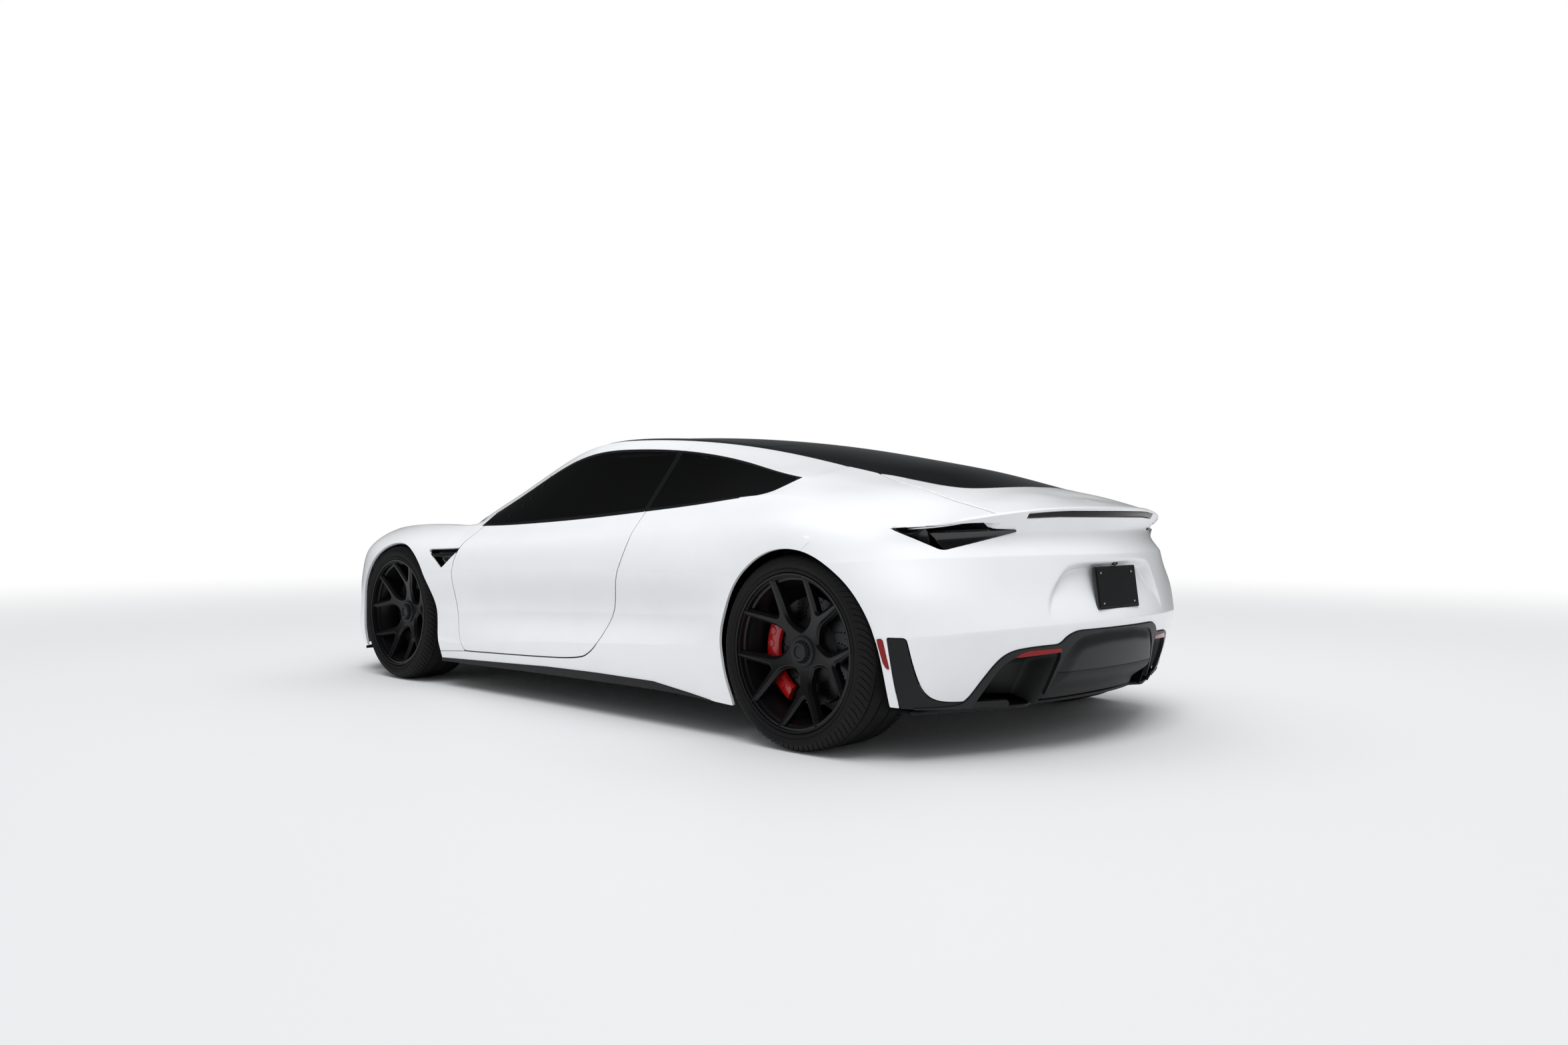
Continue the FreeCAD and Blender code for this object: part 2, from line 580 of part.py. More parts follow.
def doors():
    outer = band(body_net, SILL, BELT, skin_wall).common(side_prism(DOOR_OUTLINE, 500, cut_y))
    zone = side_prism(grown(DOOR_OUTLINE, -door_lap), 500, cut_y)
    zone = zone.common(box((-1000, 1000), (500, cut_y), (sill_z[1] + door_gap, cut_z)))
    inner = band(body_net, SILL, BELT, door_wall - skin_wall + 1, skin_wall - 1).common(zone)
    save_pair("door", joined([outer, inner]))
    glass = band(lowered_rail(body_net, door_gap), BELT, RAIL, glass_wall, glass_inset, door_glass_x)
    save_pair("door_glass", glass)


def lids():
    """Hood, and tailgate with its glass."""
    hood = band(hood_net, BELT, MIDDLE, lid_wall).common(plan_prism(hood_outline(), 400, cut_z))
    save("hood", whole(hood))
    outline = plan_prism(tailgate_outline(), 600, cut_z)
    glass_end = glass_rear_x - seam_gap
    sides = band(body_net, BELT, EDGE, lid_wall, 0.0, (tail_x, -1500)).common(outline)
    deck = band(body_net, EDGE, MIDDLE, lid_wall, 0.0, (tail_x, glass_end))
    ring = band(body_net, EDGE, MIDDLE, frame_wall, glass_wall + rest_gap, (glass_end, tailgate_hinge_x))
    ring = ring.cut(plan_prism(both_sides(TAILGATE_WINDOW)[1:], 600, cut_z))
    save("tailgate", whole(joined([sides, deck, ring.common(outline)])))
    glass = band(body_net, EDGE, MIDDLE, glass_wall, 0.0, (glass_rear_x, tailgate_hinge_x))
    save("rear_glass", whole(glass.common(outline)))


def structure():
    sill_out_y = body_net[9][SILL].y - skirt_wall - rest_gap
    floor = box(floor_x, (-sill_in_y, sill_in_y), floor_z)
    sill = box(floor_x, (sill_in_y, sill_out_y), sill_z)
    sill = sill.cut(box((hinge_relief[0], cut_x), (hinge_relief[1], cut_y), (0, cut_z)))
    save("floor_pan", joined([floor, sill, mirrored(sill)]))
    save("battery_pack", box(battery_x, (-battery_y, battery_y), (sill_z[0], floor_z[0] - rest_gap)))
    fire_x = floor_x[1] + rest_gap
    back_x = floor_x[0] - rest_gap
    half = front_trunk["half_width"]
    fire = box((fire_x, fire_x + bulkhead_wall), (-half, half), (sill_z[0], bulkhead_top))
    tray = [(fire_x, 0)] + [(fire_x, half), (1000, half)]
    tray += [(x + cowl_depth, y) for x, y in screen_foot if y < half]
    fire = fire.fuse(plan_prism(both_sides(tray), bulkhead_top - tray_drop,
                                bulkhead_top - tray_drop + tub_wall))
    rear = box((back_x - bulkhead_wall, back_x), (-half, half), (sill_z[0], bulkhead_top))
    save("bulkheads", Part.makeCompound([fire, rear]))
    tubs = []
    for tub, start, sign in ((front_trunk, fire_x + bulkhead_wall + rest_gap, 1),
                             (rear_trunk, back_x - bulkhead_wall - rest_gap, -1)):
        ends = sorted((start, start + sign * tub["length"]))
        y = tub["half_width"]
        z0, z1 = tub["z"]
        inside = box((ends[0] + tub_wall, ends[1] - tub_wall), (tub_wall - y, y - tub_wall),
                     (z0 + tub_wall, z1 + 1))
        tubs.append(box(ends, (-y, y), (z0, z1)).cut(inside))
    save("trunk_tubs", Part.makeCompound(tubs))
    units = []
    for (x0, x1, y, z0), tub in zip(DRIVE_UNITS, (front_trunk, rear_trunk)):
        units.append(box((x0, x1), (-y, y), (z0, tub["z"][0] - rest_gap)))
    save("drive_units", Part.makeCompound(units))
    liners = [arch_liner(ARCHES["front"], front_trunk), arch_liner(ARCHES["rear"], rear_trunk)]
    both = Part.makeCompound(liners)
    save("wheel_liners", Part.makeCompound(both.Solids + mirrored(both).Solids))


def arch_liner(arch, tub):
    """Curved wall over a wheel, with a flat top below the lid or the trunk's side."""
    x, z, r, top = arch["x"], arch["z"], arch["house_r"], arch["house_top"]
    y0 = tub["half_width"] + rest_gap
    ring = [(r, y0), (r, liner_out_y), (r - liner_wall, liner_out_y), (r - liner_wall, y0)]
    reach = math.sqrt(r ** 2 - (top - z) ** 2)
    curved = turned(ring, (x, z), 90.0, liner_span).cut(box((x - r, x + r), (0, cut_y), (top, cut_z)))
    return curved.fuse(box((x - reach, x + reach), (y0, liner_out_y), (top - liner_wall, top)))


def interior():
    base = floor_z[1] + rest_gap
    seat = side_prism([(x, z + base) for x, z in FRONT_SEAT], seat_middle_y - seat_half_width,
                      seat_middle_y + seat_half_width)
    save("front_seats", pair(seat))
    back = floor_x[0] + rest_gap
    save("rear_seats", side_prism([(x + back, z + base) for x, z in REAR_SEAT], -rear_seat_half_width,
                                  rear_seat_half_width))
    dash = side_prism(DASHBOARD, -dashboard_half_width, dashboard_half_width)
    console = side_prism([(x, z + base) for x, z in CONSOLE], -console_half_width, console_half_width)
    axis = V(-math.cos(math.radians(column_tilt)), 0, math.sin(math.radians(column_tilt)))
    column = rod(steering_wheel_at - axis * 300, steering_wheel_at - axis * 40, column_r)
    screen = box((548, 562), (-110, 110), (600, 780))
    save("dashboard", joined([dash, console, column, screen]))
    wheel = Part.makeTorus(steering_wheel_r, steering_grip_r, steering_wheel_at, axis)
    hub = rod(steering_wheel_at - axis * 32, steering_wheel_at - axis * 4, 42)
    spokes = [rod(steering_wheel_at - axis * 16, steering_wheel_at + arm * steering_wheel_r - axis * 2, 11)
              for arm in (ACROSS, ACROSS * -1, ACROSS.cross(axis))]
    save("steering_wheel", joined([wheel, hub] + spokes))


def number_plate():
    x, z = plate_at
    half = plate_width / 2
    plate = box((x - plate_wall, x), (-half, half), (z - plate_height / 2, z + plate_height / 2))
    holder = box((x, x + 70), (-half + 10, half - 10), (z - plate_height / 2 + 10, z + plate_height / 2 - 10))
    panel = joined([plate, holder])
    panel.rotate(V(x, 0, z), ACROSS, plate_lean)
    skin = band(body_net[:3], SILL, HAUNCH, skin_wall * 4)
    save("number_plate", panel.cut([skin, mirrored(skin)]))


def tyre(spec):
    """Tyre with round shoulders, closed round its rim by its two beads."""
    mid = (spec["out_y"] + spec["in_y"]) / 2
    half = spec["out_y"] - mid
    bead = half - rim_setback - flange_wall - rest_gap
    outer = [(spec["bead_r"] + rest_gap, bead), (spec["flange_r"] + 2, bead), (spec["flange_r"] + 8,
                                                                               half - 5),
             (spec["tyre_r"] - shoulder_r, half)]
    for angle in (30, 60, 90):
        a = math.radians(angle)
        outer.append((spec["tyre_r"] - shoulder_r + shoulder_r * math.sin(a),
                      half - shoulder_r + shoulder_r * math.cos(a)))
    inner = [(spec["tyre_r"] - tyre_wall, half - shoulder_r), (spec["tyre_r"] - shoulder_r, half - tyre_wall),
             (spec["flange_r"], bead - tyre_wall), (spec["bead_r"] + rest_gap, bead - tyre_wall)]
    path = [(r, mid + y) for r, y in outer] + [(r, mid - y) for r, y in outer[::-1]]
    hollow = [(r, mid - y) for r, y in inner[::-1]] + [(r, mid + y) for r, y in inner]
    return turned(path + hollow, (spec["x"], spec["tyre_r"]))


def polar(spec, r, angle):
    a = math.radians(angle)
    return spec["x"] + r * math.cos(a), spec["tyre_r"] + r * math.sin(a)


def rim(spec, first_spoke):
    """Rim with Y-shaped spokes, its centre nut and the brake disc that turns with it."""
    centre = (spec["x"], spec["tyre_r"])
    out_y = spec["out_y"] - rim_setback
    in_y = spec["in_y"] + rim_setback
    flange, bead, well = spec["flange_r"], spec["bead_r"], spec["well_r"]
    barrel = [(flange, out_y), (flange, out_y - flange_wall), (bead, out_y - flange_wall), (bead, out_y - 45),
              (well, out_y - 66), (well, in_y + 60), (bead, in_y + 40), (bead, in_y + flange_wall),
              (flange, in_y + flange_wall), (flange, in_y), (bead - rim_wall, in_y), (bead - rim_wall,
                                                                                      in_y + 42),
              (well - rim_wall, in_y + 62), (well - rim_wall, out_y - 70), (bead - rim_wall, out_y - 48),
              (bead - rim_wall, out_y)]
    hub_y = spec["out_y"] - hub_setback
    tip_r = bead - rim_wall + 1
    cone = [(hub_r - 8, hub_y), (hub_r, hub_y), (tip_r, out_y - 6), (tip_r, out_y - 6 - spoke_wall),
            (hub_r, hub_y - spoke_wall), (hub_r - 8, hub_y - spoke_wall)]
    bore = spindle_r + running_gap
    disc_y = spec["out_y"] - disc_setback
    hub = [(bore, disc_y - disc_wall), (disc_r, disc_y - disc_wall), (disc_r, disc_y), (hub_r - 7, disc_y),
           (hub_r - 7, hub_y), (bore, hub_y)]
    nut = cylinder_y(nut_r, hub_y, hub_y + nut_length, centre)
    windows = []
    pitch = 360 / spoke_count
    edge_r = tip_r - 10
    for k in range(spoke_count):
        a = first_spoke + pitch * k
        fork = [(132, a), (edge_r, a - 8), (edge_r + 4, a), (edge_r, a + 8)]
        gap = [(hub_r + 4, a + pitch / 2), (hub_r + 12, a + 18), (122, a + 12), (edge_r, a + 19),
               (edge_r + 5, a + pitch / 2), (edge_r, a + pitch - 19), (122, a + pitch - 12),
               (hub_r + 12, a + pitch - 18)]
        for hole in (fork, gap):
            windows.append(side_prism([polar(spec, *p) for p in hole], hub_y - 60, spec["out_y"] + 5))
    spokes = turned(cone, centre).cut(windows)
    return joined([turned(barrel, centre), spokes, turned(hub, centre), nut])


def calipers(key):
    spec = WHEELS[key]
    centre = (spec["x"], spec["tyre_r"])
    disc_y = spec["out_y"] - disc_setback
    y0 = disc_y - disc_wall - caliper_gap - caliper_cheek
    y1 = disc_y + caliper_gap + caliper_cheek
    block = [(caliper_in_r, y0), (caliper_out_r, y0), (caliper_out_r, y1), (caliper_in_r, y1)]
    slot = [(1, y0 + caliper_cheek), (disc_r + caliper_gap, y0 + caliper_cheek),
            (disc_r + caliper_gap, y1 - caliper_cheek), (1, y1 - caliper_cheek)]
    solids = [turned(block, centre, angle, span).cut(turned(slot, centre)) for angle, span in CALIPERS[key]]
    return solids, y0 - rest_gap


def hangers(key, plate_y):
    """Flat arms from the upright to the calipers."""
    spec = WHEELS[key]
    plates = []
    for angle, span in CALIPERS[key]:
        points = [polar(spec, 20, angle - 90), polar(spec, caliper_out_r - 20, angle - 9),
                  polar(spec, caliper_out_r - 20, angle + 9), polar(spec, 20, angle + 90)]
        plates.append(side_prism(points, plate_y - trim_wall, plate_y))
    return plates


def upright(key, plate_y):
    """Upright with its spindle and caliper arms, from the lower to the upper lug."""
    spec = WHEELS[key]
    x, z = spec["x"], spec["tyre_r"]
    post = box((x - upright_x, x + upright_x), (king_pin_y - upright_wall, plate_y),
               (z - lug_offset + lug_height / 2, z + lug_offset - lug_height / 2))
    tip = spec["out_y"] - hub_setback - spindle_setback
    spindle = cylinder_y(spindle_r, plate_y - 5, tip, (x, z))
    return joined([post, spindle] + hangers(key, plate_y))


def lug(x, z, r=0.0):
    return Part.makeCylinder(r or lug_r, lug_height, V(x, king_pin_y, z - lug_height / 2))


def front_corner():
    """Steered knuckle and caliper, left."""
    solids, plate_y = calipers("front")
    spec = WHEELS["front"]
    x, z = spec["x"], spec["tyre_r"]
    knuckle = upright("front", plate_y)
    for level in (z - lug_offset, z + lug_offset):
        knuckle = knuckle.fuse(lug(x, level)).cut(lug(x, level, king_pin_r + running_gap))
    save_pair("knuckle", knuckle)
    save_pair("front_caliper", solids[0])


def front_suspension():
    """Subframe with wishbones, whose pins carry the knuckles."""
    spec = WHEELS["front"]
    x, z = spec["x"], spec["tyre_r"]
    top = front_trunk["z"][0] - rest_gap
    foot_y = arm_foot_y["front"]
    post_y = front_trunk["half_width"] + post_wall
    pieces = []
    for s in (-1, 1):
        bar = (x + s * bar_x - bar_wall / 2, x + s * bar_x + bar_wall / 2)
        pieces.append(box(bar, (-foot_y, foot_y), (170, top)))
    for sign in (-1, 1):
        level = z + sign * lug_offset
        arm_z = level + sign * (lug_height / 2 + rest_gap + ball_r)
        foot = foot_y - arm_r if sign < 0 else post_y
        for side in (1, -1):
            ball = V(x, side * king_pin_y, arm_z)
            pieces += [rod(V(x + s * bar_x, side * foot, arm_z), ball, arm_r) for s in (-1, 1)]
            pin_end = V(ball.x, ball.y, level - sign * lug_height / 3)
            pieces += [Part.makeSphere(ball_r, ball), rod(ball, pin_end, king_pin_r)]
            if sign > 0:
                for s in (-1, 1):
                    post = (x + s * bar_x - post_wall / 2, x + s * bar_x + post_wall / 2)
                    ends = sorted((side * (post_y - post_wall / 2), side * (post_y + post_wall / 2)))
                    reach = sorted((side * (foot_y - 10), side * post_y))
                    pieces += [box(post, ends, (250, arm_z + arm_r + 2)), box(post, reach, (250, 280))]
    save("front_suspension", joined(pieces))


def rear_suspension():
    """Subframe, arms and uprights with their spindles, half shafts and calipers."""
    solids, plate_y = calipers("rear")
    save("rear_calipers", Part.makeCompound(solids + [mirrored(s) for s in solids]))
    spec = WHEELS["rear"]
    x, z = spec["x"], spec["tyre_r"]
    foot_y = arm_foot_y["rear"]
    top = rear_trunk["z"][0] - rest_gap
    left = [upright("rear", plate_y)]
    for level in (z - lug_offset + 20, top - 20):
        for s in (-1, 1):
            left.append(rod(V(x + s * arm_base, foot_y - 10, level), V(x, king_pin_y - 10, level), arm_r))
    left.append(rod(V(x, DRIVE_UNITS[1][2] + 1, z), V(x, king_pin_y, z), 18))
    left = joined(left)
    bars = [box((x + s * arm_base - bar_wall / 2, x + s * arm_base + bar_wall / 2), (-foot_y, foot_y),
                (220, top))
            for s in (-1, 1)]
    save("rear_suspension", joined([left, mirrored(left)] + bars))


os.makedirs("parts", exist_ok=True)
body_panels()
lower_trim()
lamps()
glass_and_roof()
doors()
lids()
structure()
interior()
number_plate()
front_corner()
front_suspension()
rear_suspension()
for place, wheel in WHEELS.items():
    save_pair("tyre_" + place, tyre(wheel))
    save_pair("rim_" + place, rim(wheel, SPOKE_START[place]))
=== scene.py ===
import json
import math

import bmesh
import bpy
import numpy as np
from mathutils import Matrix, Vector
from mathutils.bvhtree import BVHTree
from mathutils.geometry import tessellate_polygon

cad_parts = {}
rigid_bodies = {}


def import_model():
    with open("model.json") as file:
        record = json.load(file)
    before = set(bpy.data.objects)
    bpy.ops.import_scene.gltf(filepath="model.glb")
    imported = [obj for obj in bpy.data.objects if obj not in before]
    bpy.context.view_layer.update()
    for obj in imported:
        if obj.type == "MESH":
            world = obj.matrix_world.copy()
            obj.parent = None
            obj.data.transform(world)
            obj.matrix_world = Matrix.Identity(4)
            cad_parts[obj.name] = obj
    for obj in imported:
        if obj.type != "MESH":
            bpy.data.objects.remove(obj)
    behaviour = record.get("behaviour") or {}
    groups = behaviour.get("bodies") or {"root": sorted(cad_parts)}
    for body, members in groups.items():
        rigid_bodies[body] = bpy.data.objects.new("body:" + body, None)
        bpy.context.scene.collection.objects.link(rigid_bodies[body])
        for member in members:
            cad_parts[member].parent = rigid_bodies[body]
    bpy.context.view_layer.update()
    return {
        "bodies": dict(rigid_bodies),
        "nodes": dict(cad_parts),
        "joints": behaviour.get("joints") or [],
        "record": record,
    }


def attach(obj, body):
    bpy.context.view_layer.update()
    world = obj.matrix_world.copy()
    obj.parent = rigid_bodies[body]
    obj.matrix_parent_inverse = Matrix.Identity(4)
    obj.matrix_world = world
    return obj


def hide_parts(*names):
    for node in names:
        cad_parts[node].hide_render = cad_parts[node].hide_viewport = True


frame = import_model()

# Looks of a low electric sports car, in metres: one smooth master surface is drawn through the body's
# sections, and every painted panel and pane of glass is cut from it along its shut lines.

MM = 0.001
WALL = 0.004               # painted panels
SHARP_ANGLE = 38           # degrees between two faces past which a plain solid shows an edge
SILL, CREASE, WAIST, SHOULDER, HAUNCH, BELT, RAIL, EDGE, CROWN_1, CROWN_2, MIDDLE = range(11)

# Sections in mm from tail to nose: x low, x high, x top, then y and z from sill to edge, z middle, weight
CABIN_ROWS = [
    (-2190, -2185, -2060, 0, 170, 0, 460, 0, 570, 0, 700, 0, 775, 0, 868, 0, 880, 0, 892, 901, 1.0),
    (-2135, -2110, -2000, 410, 170, 420, 455, 420, 565, 422, 700,
     420, 772, 412, 857, 270, 886, 130, 904, 913, 1.0),
    (-2030, -1985, -1900, 680, 180, 712, 445, 712, 562, 712, 695,
     700, 762, 685, 821, 450, 890, 240, 926, 941, 1.0),
    (-1905, -1840, -1780, 870, 190, 905, 433, 902, 560, 888, 687,
     868, 745, 820, 803, 560, 897, 390, 934, 968, 0.5),
    (-1740, -1720, -1640, 945, 200, 965, 430, 970, 555, 965, 680,
     935, 765, 893, 820, 620, 925, 425, 962, 1003, 0),
    (-1460, -1460, -1440, 970, 150, 988, 415, 998, 545, 1003, 660,
     972, 810, 860, 893, 680, 958, 490, 1001, 1048, 0),
    (-1200, -1200, -1200, 965, 130, 985, 370, 990, 505, 997, 640,
     960, 800, 850, 915, 700, 995, 480, 1049, 1090, 0),
    (-900, -900, -900, 960, 142, 975, 335, 952, 455, 985, 625,
     945, 775, 855, 890, 645, 1055, 480, 1106, 1138, 0),
    (-500, -500, -500, 955, 145, 970, 310, 932, 425, 970, 610,
     940, 745, 860, 855, 610, 1115, 520, 1158, 1187, 0),
    (-100, -100, -100, 950, 140, 965, 285, 923, 405, 965, 600,
     940, 725, 860, 825, 610, 1137, 560, 1178, 1208, 0),
    (300, 300, 300, 950, 135, 965, 258, 925, 390, 968, 590,
     945, 705, 860, 802, 640, 1087, 590, 1130, 1180, 0),
    (600, 600, 600, 950, 130, 965, 235, 934, 380, 975, 580,
     950, 695, 860, 790, 725, 930, 670, 975, 1105, 0),
    (820, 820, 820, 950, 127, 965, 222, 950, 375, 982, 570,
     955, 690, 855, 787, 800, 810, 755, 845, 1015, 0),
]
HOOD_ROWS = [
    (820, 820, 820, 950, 127, 965, 222, 950, 375, 982, 570,
     955, 690, 855, 787, 800, 810, 430, 815, 822, 0),
    (1000, 1000, 1000, 955, 125, 970, 220, 960, 370, 990, 560,
     960, 690, 840, 787, 665, 777, 390, 798, 806, 0),
    (1340, 1340, 1340, 960, 130, 980, 230, 985, 360, 1003, 550,
     965, 690, 820, 788, 620, 765, 360, 785, 793, 0),
    (1580, 1580, 1560, 955, 135, 970, 235, 980, 350, 990, 535,
     950, 680, 805, 775, 600, 742, 340, 757, 765, 0),
    (1750, 1750, 1710, 935, 140, 955, 240, 960, 350, 955, 520,
     920, 662, 790, 748, 580, 712, 320, 725, 732, -0.2),
    (1900, 1890, 1820, 865, 138, 895, 240, 895, 345, 885, 505,
     855, 630, 745, 705, 530, 685, 290, 697, 703, -0.6),
    (2040, 2040, 1930, 680, 132, 730, 240, 720, 340, 720, 490,
     700, 590, 630, 655, 430, 667, 230, 680, 685, -1.0),
    (2150, 2165, 2010, 400, 130, 420, 240, 410, 340, 420, 475,
     410, 565, 380, 625, 260, 648, 140, 662, 668, -1.0),
    (2190, 2210, 2060, 0, 130, 0, 240, 0, 340, 0, 470, 0, 555, 0, 610, 0, 632, 0, 648, 655, -1.0),
]
# Windscreen's foot: x, then y and z of rail and edge, and z of the middle
SCREEN_ROWS = [(1000, 715, 786, 690, 800, 940), (1150, 522, 788, 500, 800, 876),
               (1280, 280, 788, 260, 797, 815), (1345, 24, 784, 10, 785, 786)]
TAIL_SET = (60, -20, 4, 0, 40, 0)       # mm added to x at the tail, from sill to belt
NOSE_SET = (20, 0, 35, 0, 30, 85)
TOP_SHARES = (0.35, 0.70)
CROWN = (0.35, 0.70)

# How sharp each character line is, from 0 smooth to 1 sharp, as (x, sharpness) along the body
SHARPNESS = {
    CREASE: [(-2.2, 0.85), (-1.86, 0.85), (-1.6, 0.2), (-1.1, 0.5), (-0.9, 0.75), (0.7, 0.6), (1.0, 0.2)],
    WAIST: [(-2.2, 0.1), (2.2, 0.0)],
    SHOULDER: [(-2.2, 0.9), (-1.85, 0.9), (-1.6, 0.15), (-0.6, 0.1), (-0.2, 0.45), (0.8, 0.45), (1.1, 0.1)],
    BELT: [(-2.2, 0.95), (-1.78, 0.95), (-1.5, 0.15), (-1.28, 0.4), (-1.2, 1.0), (0.83, 1.0), (1.1, 0.2),
           (2.2, 0.1)],
    RAIL: [(-2.2, 0.2), (-1.75, 0.0), (-1.32, 0.0), (-1.25, 0.6), (-1.1, 1.0), (0.83, 1.0), (1.0, 0.1)],
    EDGE: [(-1.9, 0.0), (-1.7, 0.35), (-1.0, 0.5), (2.2, 0.3)],
}


def crown_points(edge, middle):
    """Points from the glass edge to the middle, level at the middle."""
    points = []
    for share in CROWN:
        rise = 1 - (1 - share) ** 2
        points.append([edge[0] + (middle[0] - edge[0]) * rise, edge[1] * (1 - share),
                       edge[2] + (middle[2] - edge[2]) * rise])
    return points + [list(middle)]


def section_points(row):
    """The eleven named points of one section, from sill to middle."""
    x_low, x_high, x_top = row[:3]
    shift = TAIL_SET if row[-1] >= 0 else NOSE_SET
    points = []
    for j in range(RAIL):
        x = (x_low if j < SHOULDER else x_high) + shift[j] * row[-1]
        points.append([x, row[3 + 2 * j], row[4 + 2 * j]])
    belt_x = points[BELT][0]
    for j, share in zip((RAIL, EDGE), TOP_SHARES):
        points.append([belt_x + (x_top - belt_x) * share, row[3 + 2 * j], row[4 + 2 * j]])
    return np.array(points + crown_points(points[EDGE], (x_top, 0, row[-2]))) * MM


def slopes(knots, values, ends):
    """Slopes at the knots of a curve without kinks; each end is 'level' or 'free'."""
    n = len(knots)
    h = np.diff(knots)
    a, b = np.zeros((n, n)), np.zeros((n, values.shape[1]))
    for i in range(1, n - 1):
        a[i, i - 1:i + 2] = h[i], 2 * (h[i - 1] + h[i]), h[i - 1]
        before, after = values[i] - values[i - 1], values[i + 1] - values[i]
        b[i] = 3 * (h[i] * before / h[i - 1] + h[i - 1] * after / h[i])
    for i, j, step, end in ((0, 1, h[0], ends[0]), (n - 1, n - 2, h[-1], ends[1])):
        a[i, i] = 1.0 if end == "level" else 2.0
        if end == "free":
            a[i, j] = 1.0
            b[i] = 3 * (values[max(i, j)] - values[min(i, j)]) / step
    return np.linalg.solve(a, b)


def hermite(p0, p1, m0, m1, t):
    return ((2 * t ** 3 - 3 * t ** 2 + 1) * p0 + (t ** 3 - 2 * t ** 2 + t) * m0
            + (3 * t ** 2 - 2 * t ** 3) * p1 + (t ** 3 - t ** 2) * m1)


class Net:
    """Smooth surface through a net of section points, in rows along the body and columns round it."""

    def __init__(self, rows, knots, first=0, low=None):
        """low is another net whose curves below the rail this one shares."""
        self.points = np.array(rows)
        self.knots = np.array(knots)
        self.first, self.low = first, low
        self.count = self.points.shape[1]
        flat = self.points.reshape(len(rows), -1)
        self.slope = np.zeros_like(flat)
        closed = (abs(self.points[0, 0, 1]) < 1e-9, abs(self.points[-1, 0, 1]) < 1e-9)
        for k in range(flat.shape[1]):
            level = k % 3 != 1 and k // 3 + first != MIDDLE
            ends = ["level" if c and level else "free" for c in closed]
            self.slope[:, k:k + 1] = slopes(self.knots, flat[:, k:k + 1], ends)
        self.flat = flat

    def columns(self, u):
        """Points of all columns at each u."""
        i = np.clip(np.searchsorted(self.knots, u, side="right") - 1, 0, len(self.knots) - 2)
        h = (self.knots[i + 1] - self.knots[i])[:, None]
        t = (np.asarray(u)[:, None] - self.knots[i][:, None]) / h
        out = hermite(self.flat[i], self.flat[i + 1], self.slope[i] * h, self.slope[i + 1] * h, t)
        out = out.reshape(len(u), self.count, 3)
        if self.low is not None:
            shared = self.low.columns(u)[:, :RAIL - self.first]
            out[:, :shared.shape[1]] = shared
        return out

    def surface(self, u, v):
        """Points at every u and v; v counts columns of the whole body."""
        p = self.columns(u)
        chord = np.diff(p, axis=1)
        length = np.maximum(np.linalg.norm(chord, axis=2, keepdims=True), 1e-6)
        way = chord / length
        before, after = length[:, :-1], length[:, 1:]
        tangent = np.zeros_like(p)
        tangent[:, 1:-1] = (after * way[:, :-1] + before * way[:, 1:]) / (after + before)
        tangent[:, 0] = 1.5 * way[:, 0] - 0.5 * tangent[:, 1]
        tangent[:, -1] = way[:, -1]
        if self.first + self.count - 1 == MIDDLE:
            tangent[:, -1] = np.array([0.0, -1.0, 0.0])
        arrive, leave = tangent.copy(), tangent.copy()
        for column, marks in SHARPNESS.items():
            j = column - self.first
            if 0 < j < self.count - 1:
                sharp = np.interp(p[:, j, 0], *zip(*marks))[:, None]
                arrive[:, j] = (1 - sharp) * tangent[:, j] + sharp * way[:, j - 1]
                leave[:, j] = (1 - sharp) * tangent[:, j] + sharp * way[:, j]
        out = []
        for value in v:
            j = min(int(value) - self.first, self.count - 2)
            t = value - self.first - j
            step = length[:, j]
            out.append(hermite(p[:, j], p[:, j + 1], leave[:, j] * step, arrive[:, j + 1] * step, t))
        return np.stack(out, axis=1)


def unit(vectors):
    """Vectors of length one."""
    return vectors / np.maximum(np.linalg.norm(vectors, axis=-1, keepdims=True), 1e-12)


def normals_of(net, u, v):
    """Unit outward normals at every u and v, averaged across the character lines."""
    eps_u, eps_v = 1e-4, 0.004
    lo, hi = net.first, net.first + net.count - 1
    along = net.surface(u + eps_u, v) - net.surface(u - eps_u, v)
    up = net.surface(u, np.minimum(v + eps_v, hi - 1e-9)) - net.surface(u, np.maximum(v - eps_v, lo))
    n = np.cross(up, along)
    at_middle = abs(net.surface(u, v)[:, :, 1]) < 1e-7
    n[at_middle, 1] = 0
    return unit(n)


def column_steps(first, last, steps):
    """v values with close pairs beside each character line, so that it shades as a small radius."""
    values = [first]
    for j in range(int(first), math.ceil(last)):
        values += [j] + list(j + np.linspace(0.04, 0.96, steps))
    values = np.array([v for v in values if first <= v < last - 1e-6] + [last - 1e-9])
    return np.unique(values)


def grid_tris(rows, cols, wrap_rows=False, wrap_cols=False):
    """Triangles of a grid of points, closed on itself where it wraps."""
    index = np.arange(rows * cols).reshape(rows, cols)
    if wrap_rows:
        index = np.concatenate([index, index[:1]])
    if wrap_cols:
        index = np.concatenate([index, index[:, :1]], axis=1)
    a, b, c, d = index[:-1, :-1], index[:-1, 1:], index[1:, 1:], index[1:, :-1]
    return np.concatenate([np.stack([a, b, c], -1).reshape(-1, 3), np.stack([a, c, d], -1).reshape(-1, 3)])


def grid_mesh(net, first, last, u_range, pitch=0.016, steps=9):
    """Mesh of part of a net: columns first to last between two values of u."""
    u = np.linspace(*u_range, max(int((u_range[1] - u_range[0]) / pitch), 2) + 1)
    v = column_steps(first, last, steps)
    co, no = net.surface(u, v), normals_of(net, u, v)
    return clean(co.reshape(-1, 3), no.reshape(-1, 3), grid_tris(*co.shape[:2]))


